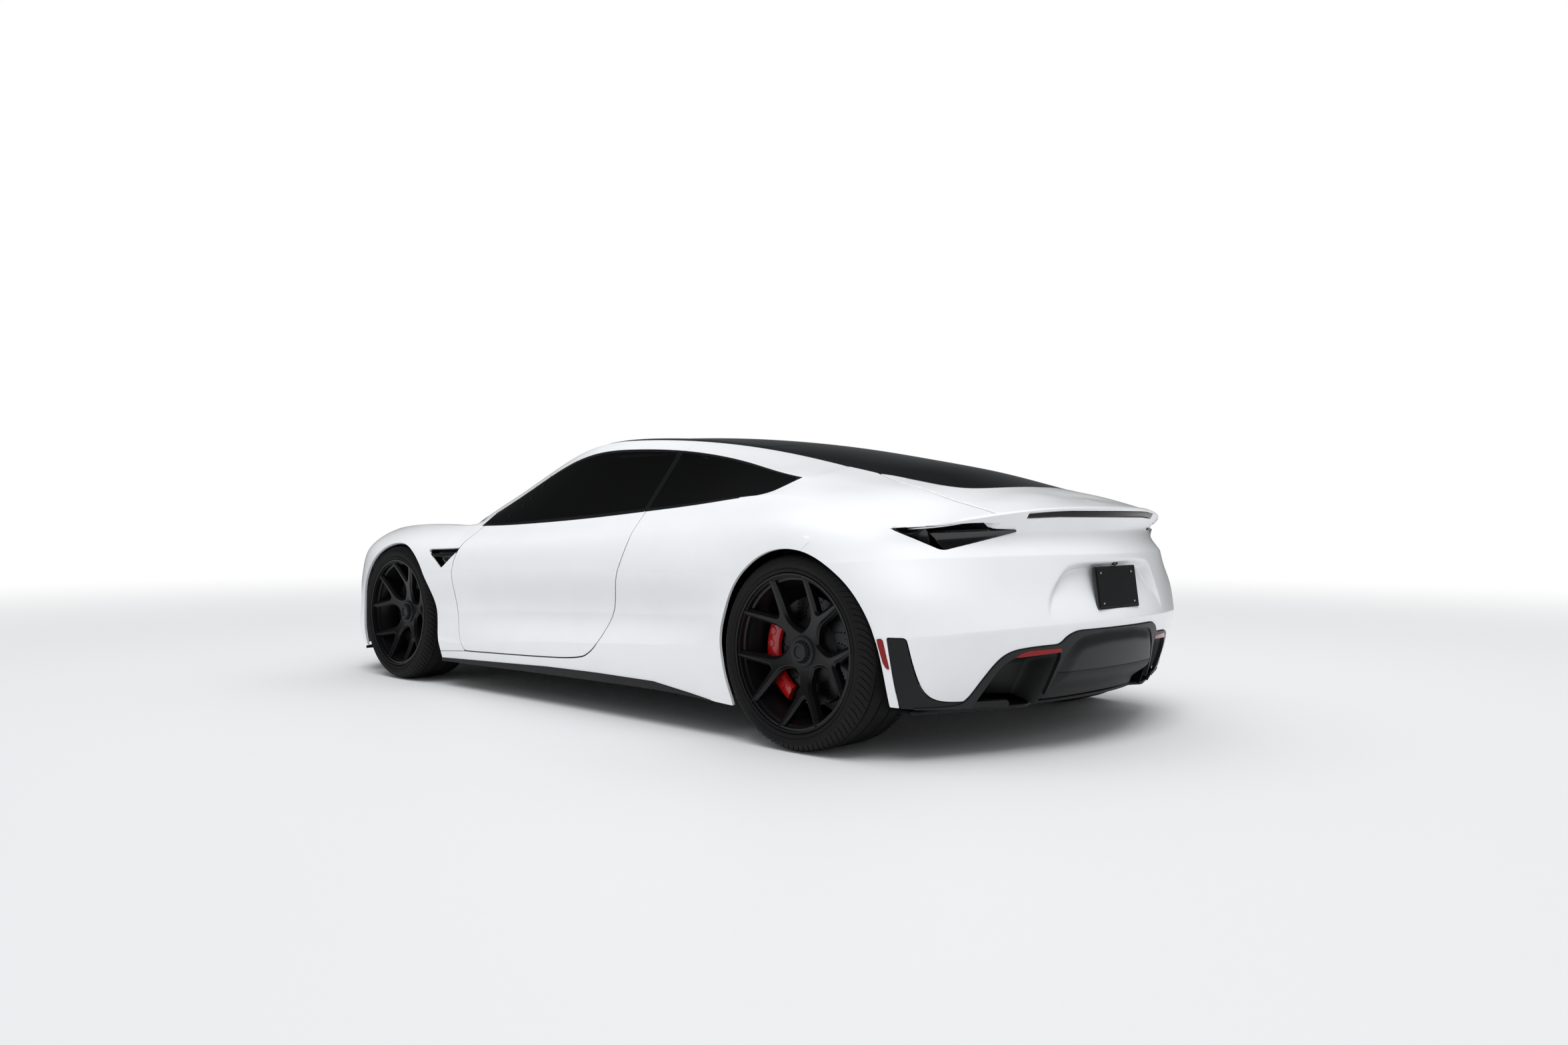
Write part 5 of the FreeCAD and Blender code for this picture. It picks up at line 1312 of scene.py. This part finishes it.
def disc(spec):
    """Drilled and vented brake disc with its bell."""
    inner, outer, sectors = 0.118, 0.195, 20
    pitch = 360 / sectors
    face = spec["out"] - DISC_DEPTH
    r, flat = polar_grid(inner, outer, 0, pitch, (34, 26))
    field = np.full(len(flat), -1.0)
    for k in range(6):
        for turn in (-pitch, 0, pitch):
            a = math.radians(2.7 * k + 2 + turn)
            hole = (inner + 0.012 + 0.0125 * k) * np.array([math.cos(a), math.sin(a)])
            field = np.maximum(field, 0.0036 - np.linalg.norm(flat - hole, axis=1))
    co = np.stack([flat[:, 0], 0 * flat[:, 0], flat[:, 1]], -1)
    sector = clip((co, np.tile(np.array([0.0, 1.0, 0.0]), (len(co), 1)), grid_tris(*r.shape)), field)
    plate = panel(merged(*[moved(sector, turn=pitch * k) for k in range(sectors)]), DISC_WALL, 0.0)
    faces = [moved(plate, (spec["x"], y, spec["radius"])) for y in (face, face - DISC_INNER)]
    bell = lathe([(0.066, face - 0.028), (0.124, face - 0.028), (0.124, face - 0.004), (0.112, face + 0.001),
                  (0.088, face + 0.012), (0.066, face + 0.012)], (spec["x"], spec["radius"]), 96)
    return joined(*faces), bell


def caliper(spec, middle, span, small=False):
    """Brake caliper over the disc's edge: two cheeks with piston bosses, bridges with slots and bolts."""
    face = spec["out"] - DISC_DEPTH
    at = (spec["x"], spec["radius"])
    y0, y1 = face - DISC_WALL - DISC_INNER - 0.026, face + 0.026
    a0, a1 = math.radians(middle - span / 2), math.radians(middle + span / 2)
    outer = [(0.152, y1 - 0.014), (0.160, y1 - 0.002), (0.166, y1), (0.200, y1), (0.209, y1 - 0.004),
             (0.213, y1 - 0.014), (0.213, y1 - 0.024), (0.202, y1 - 0.024), (0.202, y1 - 0.020),
             (0.152, y1 - 0.020)]
    body = [lathe(outer, at, 40, (a0, a1)), lathe([(r, y0 + y1 - y) for r, y in outer], at, 40, (a0, a1))]
    bridge = [(0.2035, y0 + 0.01), (0.2135, y0 + 0.01), (0.2135, y1 - 0.01), (0.2035, y1 - 0.01)]
    count = 2 if small else 4
    for k in range(count):
        b = a0 + (a1 - a0) * (k + 0.5) / count
        w = (a1 - a0) * (0.16 if k in (0, count - 1) else 0.07)
        body.append(lathe(bridge, at, 10, (b - w, b + w)))

    def studs(angles, away, top, foot, steps):
        """Round or six-sided heads on the outer cheek, at angles round the disc."""
        stud = lathe([(0.0001, y1 - 0.002), (0.0001, y1 + 0.003), (top, y1 + 0.003), (foot, y1 - 0.002)],
                     (away, 0), steps)
        return [moved(stud, (at[0], 0, at[1]), -math.degrees(a)) for a in angles]
    pistons = [0] if small else [-0.29, 0, 0.29]
    body += studs([(a0 + a1) / 2 + (a1 - a0) * k for k in pistons], 0.184, 0.013, 0.016, 28)
    body += studs([a0 + 0.05, a1 - 0.05], 0.166, 0.0065, 0.0065, 6)
    return joined(*body)


RING, STITCHES = ring_tree(), stitch_tree()


def build_wheels(rim, rubber, iron, red, dark):
    rear = WHEELS["rear"]
    rear_blocks = joined(caliper(rear, 5, 50), caliper(rear, -45, 32, True))
    for side, flip, way in (("left", lambda m: m, 1), ("right", mirrored, -1)):
        for key, spec in WHEELS.items():
            place = key + "_" + side
            for name, mesh, finish, nodes in (
                    ("spokes_", spokes(spec), rim, ["rim_" + place]), ("rim_barrel_", barrel(spec), rim, ()),
                    ("hub_", hub_parts(spec), dark, ()), ("tyre_body_", tyre(spec), rubber, ["tyre_" + place])):
                add_piece(name + place, flip(mesh), finish, "wheel_" + place, nodes)
            build_rings(spec, place, way, dark, iron)
            for name, mesh, finish in zip(("disc_", "disc_bell_"), disc(spec), (iron, dark)):
                add_piece(name + place, flip(mesh), finish, "wheel_" + place)
        add_piece("caliper_front_" + side, flip(caliper(WHEELS["front"], 172, 62)), red, "knuckle_" + side,
                  ["front_caliper_" + side])
        add_piece("calipers_rear_" + side, flip(rear_blocks), red,
                  nodes=["rear_calipers"] if side == "left" else ())


# Cabin

FRONT_SEAT_Y, REAR_SEAT_Y = 0.38, 0.26
SWELL = 0.012              # the most that a pad swells


def swollen(mesh, held, voxel=0.009):
    """Pads under pressure: a cloth skin over the mesh that swells except where it is held down."""
    seed = seed_object("pad_form", mesh[0], (), mesh[2])
    remesh = seed.modifiers.new("skin", "REMESH")
    remesh.mode, remesh.voxel_size = "VOXEL", voxel
    skin = evaluated_mesh(seed)
    seed.modifiers.remove(remesh)
    seed.data = skin
    start = np.empty(len(skin.vertices) * 3)
    skin.vertices.foreach_get("co", start)
    start = start.reshape(-1, 3)
    co = start.copy()
    group = seed.vertex_groups.new(name="held")
    group.add([int(k) for k in np.nonzero(held(start))[0]], 1.0, "REPLACE")
    cloth = seed.modifiers.new("swell", "CLOTH").settings
    cloth.quality = 4
    cloth.mass = 0.25
    cloth.use_pressure = True
    cloth.uniform_pressure_force = 4.0
    cloth.vertex_group_mass = "held"
    cloth.effector_weights.gravity = 0.0
    for moment in range(1, 21):
        bpy.context.scene.frame_set(moment)
    puffed = evaluated_mesh(seed)
    puffed.vertices.foreach_get("co", co.ravel())
    bpy.context.scene.frame_set(1)
    move = co.reshape(-1, 3) - start
    length = np.linalg.norm(move, axis=1, keepdims=True)
    move *= np.minimum(1.0, SWELL / np.maximum(length, 1e-9))
    skin.calc_loop_triangles()
    tris = np.array([list(t.vertices) for t in skin.loop_triangles])
    bpy.data.objects.remove(seed)
    return shaded((start + move, None, tris))


def add_pads(name, pads, leather, nodes):
    """A pair of padded pieces, left and right."""
    for side, mesh, stands_for in (("_left", pads, nodes), ("_right", mirrored(pads), ())):
        add_piece(name + side, mesh, leather, nodes=stands_for)


def front_seat():
    """One front seat: cushion, back, head rest and side bolsters, with sewn channels across."""
    y = FRONT_SEAT_Y
    parts = [moved(pillow((0.48, 0.30, 0.11), 0.4), (0.21, y, 0.350), -5),
             moved(pillow((0.09, 0.28, 0.46), 0.4), (-0.222, y, 0.650), -27),
             moved(pillow((0.08, 0.22, 0.13), 0.5), (-0.322, y, 0.888), -16)]
    for across in (y - 0.195, y + 0.195):
        parts += [moved(pillow((0.47, 0.085, 0.135), 0.6), (0.205, across, 0.362), -5),
                  moved(pillow((0.12, 0.085, 0.45), 0.6), (-0.205, across, 0.640), -27)]

    def held(co):
        channels = co[:, 2] < 0.315
        for x in (0.06, 0.15, 0.24, 0.33):
            channels |= (abs(co[:, 0] - x) < 0.006) & (co[:, 2] > 0.36) & (abs(co[:, 1] - y) < 0.145)
        for z in (0.50, 0.58, 0.66, 0.74):
            channels |= (abs(co[:, 2] - z) < 0.006) & (co[:, 0] > -0.33) & (abs(co[:, 1] - y) < 0.14)
        return channels
    return swollen(joined(*parts), held)


def rear_seat():
    """One rear seat: cushion, back and head rest."""
    y = REAR_SEAT_Y
    parts = [moved(pillow((0.40, 0.40, 0.10), 0.45), (-0.68, y, 0.340), -4),
             moved(pillow((0.08, 0.40, 0.42), 0.45), (-0.950, y, 0.590), -20),
             moved(pillow((0.06, 0.22, 0.09), 0.5), (-1.005, y, 0.790), -20)]

    def held(co):
        return (co[:, 2] < 0.30) | (abs(co[:, 1] - y) < 0.005) & (co[:, 2] < 0.72)
    return swollen(joined(*parts), held)


def laid_on(mesh, path, toward):
    """Path moved along a direction until it lies on the mesh."""
    tree = BVHTree.FromPolygons([Vector(c) for c in mesh[0]], mesh[2].tolist())
    hits = [tree.ray_cast(Vector(p), Vector(toward))[0] for p in path]
    return np.array([np.array(hit) - np.array(toward) * 0.0004 for hit in hits if hit is not None])


def build_seats(leather, satin, thread):
    """Front seats with shells and stitched seams, and the two rear seats."""
    pads = front_seat()
    add_pads("front_seat_pads", pads, leather, ["front_seats"])
    add_pads("rear_seat_pads", rear_seat(), leather, ["rear_seats"])
    base = rounded([(-0.10, 0.285), (0.40, 0.285), (0.44, 0.33), (0.42, 0.355), (0.0, 0.33),
                    (-0.10, 0.36)], 0.03)
    back = rounded([(-0.13, 0.30), (-0.18, 0.37), (-0.36, 0.78), (-0.39, 0.92), (-0.365, 0.94), (-0.335, 0.92),
                    (-0.305, 0.78), (-0.12, 0.40)], 0.03)
    shells = [prism(outline, SIDE, y - half, y + half, bevel) for y in (FRONT_SEAT_Y, -FRONT_SEAT_Y)
              for outline, half, bevel in ((base, 0.235, 0.01), (back, 0.20, 0.02))]
    add_piece("front_seat_shells", joined(*shells), satin)
    steps = np.linspace(0, 1, 60)
    lines = []
    for y in (FRONT_SEAT_Y - 0.142, FRONT_SEAT_Y + 0.142):
        lines.append(laid_on(pads, [(0.02 + 0.38 * t, y, 0.60) for t in steps], (0, 0, -1)))
        lines.append(laid_on(pads, [(0.30, y, 0.48 + 0.34 * t) for t in steps], (-1, 0, 0)))
    for mirror, side in ((1, "_left"), (-1, "_right")):
        co, edges = [], []
        for line in lines:
            edges += [(len(co) + k, len(co) + k + 1) for k in range(len(line) - 1)]
            co += (line * [1, mirror, 1]).tolist()
        grown(seed_object("seat_stitches" + side, co, edges), STITCHES, thread,
              Spacing=0.009, Length=0.0055, Thickness=0.0007)


def build_cabin(leather, trim, black, satin, screen_dark, thread):
    """Seats, dashboard with its vents, console and display, and the steering wheel."""
    build_seats(leather, satin, thread)
    dash = rounded([(0.88, 0.56), (0.88, 0.755), (0.70, 0.752), (0.60, 0.705), (0.56, 0.59),
                    (0.64, 0.54)], 0.03)
    hood = rounded([(0.57, 0.70), (0.70, 0.75), (0.72, 0.775), (0.66, 0.775), (0.55, 0.72)], 0.015)
    console = rounded([(-0.25, 0.28), (-0.25, 0.47), (0.30, 0.495), (0.55, 0.60), (0.64, 0.61),
                       (0.64, 0.28)], 0.02)
    solids = [prism(dash, SIDE, -0.75, 0.75, 0.03), prism(hood, SIDE, 0.24, 0.52, 0.012),
              prism(console, SIDE, -0.10, 0.10, 0.02)]
    add_piece("dashboard_body", joined(*solids), trim, nodes=["dashboard"])
    vents = [block((0.563, 0.575), y, (0.655, 0.672), 0.003)
             for y in ((-0.70, -0.50), (-0.20, 0.20), (0.54, 0.70))]
    add_piece("dashboard_vents", joined(*vents), black)
    display = moved(block((-0.006, 0.006), (-0.105, 0.105), (-0.15, 0.15), 0.003), (0.555, 0, 0.67), 20)
    add_piece("centre_display", display, screen_dark)
    build_steering_wheel(leather, satin)


def build_steering_wheel(leather, satin):
    """Flat-sided wheel with a padded hub and three spokes on its column."""
    a = np.linspace(0, 2 * math.pi, 64, endpoint=False)
    ring = np.stack([0.168 * np.cos(a), np.clip(0.168 * np.sin(a), -0.118, 0.118), 0 * a], -1)
    grip, _, tris = tube(ring, 0.0145, 12, True)
    bars = [block((-0.006, 0.006), y, z, 0.003) for y, z in (((0.04, 0.16), (-0.012, 0.012)),
                                                             ((-0.16, -0.04), (-0.012, 0.012)),
                                                             ((-0.012, 0.012), (-0.115, -0.03)))]
    column = tube([(0.01, 0, 0), (0.15, 0, 0)], 0.026, 20)
    centre = joined(pillow((0.04, 0.12, 0.09), 0.5), *bars, column)
    tilt, place = 22.0, (0.395, FRONT_SEAT_Y, 0.650)
    grip = moved(moved((grip[:, [2, 0, 1]], None, tris), turn=tilt), place)
    add_piece("steering_grip", grip, leather, "steering_wheel", ["steering_wheel"])
    add_piece("steering_centre", moved(moved(centre, turn=tilt), place), satin, "steering_wheel")


# Finishes; sizes of grains, ribs and weaves are in millimetres

def object_space(tree):
    return node(tree, "ShaderNodeTexCoord").outputs["Object"]


def raised(tree, shader, height, strength, depth):
    """Raises a surface by a texture, up to a depth in mm."""
    bump = node(tree, "ShaderNodeBump", {"Strength": strength, "Distance": depth * MM}, Height=height)
    tree.links.new(bump.outputs["Normal"], shader.inputs["Normal"])


def two_toned(tree, shader, tones, share):
    mix = node(tree, "ShaderNodeMix", {"data_type": "RGBA", 6: linear(tones[0]), 7: linear(tones[1])},
               i0=share)
    tree.links.new(mix.outputs[2], shader.inputs["Base Color"])


def grained(name, slot, tones, grain, strength, depth, **settings):
    """Finish that wanders between two tones over a hand's width, with a grain in its surface."""
    material, tree, shader = new_material(name, slot, tones[0], **settings)
    at = object_space(tree)
    wide = node(tree, "ShaderNodeTexNoise", {"Scale": 6.0, "Detail": 3.0}, Vector=at)
    fine = node(tree, "ShaderNodeTexNoise", {"Scale": 1 / (grain * MM), "Detail": 3.0}, Vector=at)
    two_toned(tree, shader, tones, wide.outputs["Fac"])
    raised(tree, shader, fine.outputs["Fac"], strength, depth)
    return material


def carbon_weave():
    """Carbon cloth under satin lacquer: a dark twill, drawn with tows of 4 mm, twice the real width, so that
    it shows from a few metres."""
    material, tree, shader = new_material("carbon_twill", "black_trim", "#1a1b1c", Roughness=0.42,
                                          Specular_IOR_Level=0.3)
    at, tow = object_space(tree), 4.03
    waves = []
    for turn in (0.0, QUARTER_TURN):
        spin = node(tree, "ShaderNodeMapping", {"Rotation": (turn, 0.0, 0.0)}, Vector=at)
        wave = node(tree, "ShaderNodeTexWave", {"Scale": math.pi / (10 * tow * MM),
                                                "bands_direction": "DIAGONAL"}, Vector=spin.outputs["Vector"])
        waves.append(wave.outputs["Fac"])
    over = node(tree, "ShaderNodeMath", {"operation": "MAXIMUM"}, i0=waves[0], i1=waves[1])
    two_toned(tree, shader, ("#08090a", "#1c1e20"), over.outputs[0])
    return material


def tinted(name, slot, color):
    """Float glass tinted in the melt: a dark mirror of the room, slowly rippled, that lets a little through."""
    material, tree, shader = new_material(name, slot, color, Roughness=0.015, IOR=1.5, Transmission_Weight=1.0)
    wave = node(tree, "ShaderNodeTexNoise", {"Scale": 2.5, "Detail": 1.0}, Vector=object_space(tree))
    raised(tree, shader, wave.outputs["Fac"], 0.02, 2.0)
    return material


def red_lens():
    """Moulded red acrylic lens: deep glossy red over upright ribs of 5 mm, drawn wider than the real ones."""
    material, tree, shader = new_material("red_ribbed_lens", "lamp_red", "#7e0006", Roughness=0.15,
                                          Specular_IOR_Level=0.35)
    ribs = node(tree, "ShaderNodeTexWave", {"Scale": 60.0}, Vector=object_space(tree))
    raised(tree, shader, ribs.outputs["Fac"], 0.3, 0.6)
    return material


# White lacquer under clear coat: a clean cool white whose faint orange peel softens what it mirrors
paint = grained("white_clearcoated_paint", "body_paint", ("#e8e9ea", "#e2e4e6"), 4.17, 0.04, 0.2,
                Roughness=0.30, Coat_Weight=0.8, Coat_Roughness=0.06)
glass = {"side": tinted("grey_tinted_side_glass", "side_glass", "#3b3f43"),
         "roof": tinted("black_tinted_roof_glass", "black_glass", "#191b1d"),
         "clear": tinted("clear_lamp_cover", "lamp_clear", "#e6ecf2")}
# Moulded and grained polypropylene: matt black with a leathery grain, which breaks up its highlights
trim = grained("grained_black_plastic", "black_trim", ("#0f1011", "#151617"), 1.11, 0.35, 0.4,
               Roughness=0.52, Specular_IOR_Level=0.3)
# Piano-black moulding: a deep black that mirrors sharply, with a slow waviness
black = grained("gloss_black_plastic", "gloss_black", ("#0b0b0c", "#101112"), 16.7, 0.02, 0.4,
                Roughness=0.08, Coat_Weight=0.6)
# Sprayed satin lacquer: dark grey with broad soft highlights
satin = grained("satin_black_lacquer", "rim_black", ("#1a1b1c", "#212223"), 2.0, 0.12, 0.2,
                Roughness=0.38, Specular_IOR_Level=0.3)
# The wheels' baked lacquer: nearly black, with narrower highlights along the spokes
rim_finish = grained("satin_black_wheel_lacquer", "rim_black", ("#08080a", "#0c0c0e"), 1.43, 0.08, 0.2,
                     Roughness=0.33, Specular_IOR_Level=0.35)
# Vulcanised rubber: dull charcoal that drinks the light
rubber = grained("tyre_rubber", "tyre", ("#101011", "#171718"), 2.0, 0.3, 0.5, Roughness=0.72,
                 Specular_IOR_Level=0.25)
# Turned cast iron: grey metal with a fine machined sparkle
iron = grained("turned_brake_iron", "brake_disc", ("#3c3d3f", "#4a4b4d"), 2.86, 0.15, 0.2, Metallic=1.0,
               Roughness=0.35)
# Sand-cast aluminium: pale, dull metal with a coarse skin
alloy = grained("cast_aluminium", "cast_alloy", ("#8f9194", "#9a9c9f"), 2.22, 0.4, 0.6, Metallic=1.0,
                Roughness=0.5)
# Glossy lacquer on the calipers: a strong red that darkens in its hollows
red = grained("red_caliper_lacquer", "caliper_red", ("#a80e12", "#980c10"), 3.33, 0.06, 0.3, Roughness=0.28,
              Coat_Weight=0.7)
# Pigmented cowhide: soft black with pores, drawn twice their size so that they show
leather = grained("black_seat_leather", "seat_leather", ("#1c1c1d", "#242425"), 2.38, 0.45, 0.8,
                  Roughness=0.55)
# Twisted polyester thread: light grey and dull, so that each stitch stands out
thread = grained("grey_seam_thread", "seat_leather", ("#6d6f72", "#5c5e61"), 1.11, 0.3, 0.2, Roughness=0.8)
# Soft-touch cabin plastic: dark and almost without shine
cabin_trim = grained("dark_cabin_trim", "interior_trim", ("#202122", "#27282a"), 1.25, 0.3, 0.4, Roughness=0.7)
# Plated brass: a bright mirror
chrome = grained("polished_chrome", "chrome", ("#d8d9db", "#c9cbce"), 25.0, 0.02, 0.2, Metallic=1.0,
                 Roughness=0.08)
# Aluminium vapour on moulded plastic: the lamps' softer mirror
silver = grained("metallised_reflector", "chrome", ("#c9ccd0", "#c3c6ca"), 25.0, 0.01, 0.1, Metallic=1.0,
                 Roughness=0.18)
# Bonded cover glass over a dark display: black and nearly flawless
display_glass = grained("dark_display_glass", "gloss_black", ("#060708", "#0a0c0f"), 33.3, 0.01, 0.2,
                        Roughness=0.05)
# Pressed and coated steel of the battery case: grey, with the coating's light texture
case_metal = grained("battery_case_metal", "battery_case", ("#6d7073", "#787b7e"), 3.33, 0.25, 0.4,
                     Metallic=0.9, Roughness=0.45)
# Smoked acrylic of the unlit light strip: black with a breath of red
smoked = grained("smoked_red_lens", "lamp_red", ("#14090a", "#0f0607"), 12.5, 0.02, 0.3, Roughness=0.12,
                 Specular_IOR_Level=0.2)
lens = red_lens()

side = side_surface()
build_front(side, paint, glass, trim, black, silver)
build_rear(paint, trim, black, lens, smoked)
build_doors(side, paint, cabin_trim, black, glass)
build_skirts(side, trim)
build_valance(trim, satin, carbon_weave(), lens)
build_plate(black, trim, chrome)
build_glasshouse(paint, glass)
build_wheels(rim_finish, rubber, iron, red, satin)
build_cabin(leather, cabin_trim, black, satin, display_glass, thread)

KEPT = {"floor_pan": cabin_trim, "battery_pack": case_metal, "bulkheads": cabin_trim, "trunk_tubs": cabin_trim,
        "drive_units": alloy, "wheel_liners": trim, "front_suspension": alloy, "rear_suspension": alloy,
        "knuckle_left": alloy, "knuckle_right": alloy}
for name, finish in KEPT.items():
    for material_slot in frame["nodes"][name].material_slots:
        material_slot.material = finish


# Stage, light and camera

def pale_floor():
    """Painted studio floor: pale grey that fades into the white backdrop a few metres from the car."""
    material, tree, shader = new_material("pale_floor", "stage", "#cfd0d1", Roughness=0.6,
                                          Specular_IOR_Level=0.2)
    away = node(tree, "ShaderNodeVectorMath", {"operation": "LENGTH"}, i0=object_space(tree))
    fade = node(tree, "ShaderNodeMapRange", {"interpolation_type": "SMOOTHSTEP", 1: 4.0, 2: 13.0},
                Value=away.outputs["Value"])
    ray = node(tree, "ShaderNodeLightPath")
    glow = node(tree, "ShaderNodeMapRange", {3: 1.0, 4: 0.2}, Value=ray.outputs["Is Glossy Ray"])
    white = node(tree, "ShaderNodeEmission", Strength=glow.outputs[0])
    mix = node(tree, "ShaderNodeMixShader", Fac=fade.outputs[0], i1=shader.outputs[0], i2=white.outputs[0])
    tree.links.new(mix.outputs[0], tree.nodes["Material Output"].inputs["Surface"])
    return material


def make_world():
    """Soft even studio, white to the camera, and a dim hall with a brighter floor in what shines."""
    world = bpy.data.worlds.new("studio")
    bpy.context.scene.world = world
    world.use_nodes = True
    tree = world.node_tree
    white = tree.nodes["Background"]
    white.inputs["Color"].default_value = linear("#ffffff")
    soft = node(tree, "ShaderNodeBackground", {"Strength": 0.86, "Color": linear("#f2f3f5")})
    toward = node(tree, "ShaderNodeSeparateXYZ", Vector=node(tree, "ShaderNodeTexCoord").outputs["Generated"])
    dim = node(tree, "ShaderNodeMapRange", {1: 0.0, 2: 0.4, 3: 0.14, 4: 0.06}, Value=toward.outputs["Z"])
    hall = node(tree, "ShaderNodeBackground", {"Color": linear("#eceff3")}, Strength=dim.outputs[0])
    ray = node(tree, "ShaderNodeLightPath").outputs
    room = node(tree, "ShaderNodeMixShader", i0=ray["Is Glossy Ray"], i1=soft.outputs[0], i2=hall.outputs[0])
    mix = node(tree, "ShaderNodeMixShader", i0=ray["Is Camera Ray"], i1=room.outputs[0], i2=white.outputs[0])
    tree.links.new(mix.outputs[0], tree.nodes["World Output"].inputs["Surface"])


def add_lamp(name, kind, energy, glossy=False, **settings):
    """A lamp of some watts, or a sun; a glossy one is seen in the paint."""
    light = bpy.data.lights.new(name, kind)
    light.energy = energy
    for key, value in settings.items():
        setattr(light, key, value)
    lamp = bpy.data.objects.new(name, light)
    lamp.visible_glossy = glossy
    bpy.context.scene.collection.objects.link(lamp)
    return lamp


def make_stage():
    """Pale floor and the lamps."""
    bpy.ops.mesh.primitive_plane_add(size=60)
    floor = bpy.context.object
    floor.name = "floor"
    floor.data.materials.append(pale_floor())
    make_world()
    for name, place, aim, wide, tall, power, glossy in (
            ("ceiling", (-0.5, 1.5, 5.5), (0, 0, 0), 9.0, 2.6, 85, False),
            ("far_ceiling", (0, -4.0, 5.0), (0, 0, 0), 9.0, 2.6, 70, False),
            ("window_glint", (3.4, 8.0, 4.6), (0, 0, 0.9), 0.30, 0.12, 6, True)):
        lamp = add_lamp(name, "AREA", power, glossy, shape="RECTANGLE", size=wide, size_y=tall)
        lamp.location = place
        lamp.rotation_euler = (Vector(aim) - Vector(place)).to_track_quat("-Z", "Y").to_euler()
    sun = add_lamp("sun", "SUN", 1.65, angle=0.6)
    sun.rotation_euler = (math.radians(-18), math.radians(-14), 0)


def make_camera():
    """Camera where the photo was taken from, with its lens."""
    camera = bpy.data.cameras.new("camera")
    camera.sensor_width = 36.0
    camera.lens = 1847 / 2352 * 36.0
    camera.clip_start = 0.05
    obj = bpy.data.objects.new("camera", camera)
    bpy.context.scene.collection.objects.link(obj)
    bpy.context.scene.camera = obj
    yaw, pitch, roll = 0.798, -0.005, 0.002
    forward = np.array([math.cos(yaw) * math.cos(pitch), -math.sin(yaw) * math.cos(pitch), math.sin(pitch)])
    right = np.array([-math.sin(yaw), -math.cos(yaw), 0.0])
    up = np.cross(right, forward)
    right, up = math.cos(roll) * right + math.sin(roll) * up, -math.sin(roll) * right + math.cos(roll) * up
    turn = Matrix([[right[i], up[i], -forward[i]] for i in range(3)]).to_4x4()
    obj.matrix_world = Matrix.Translation((-4.476, 4.110, 0.835)) @ turn


make_camera()
make_stage()
bpy.context.scene.view_settings.view_transform = "Standard"
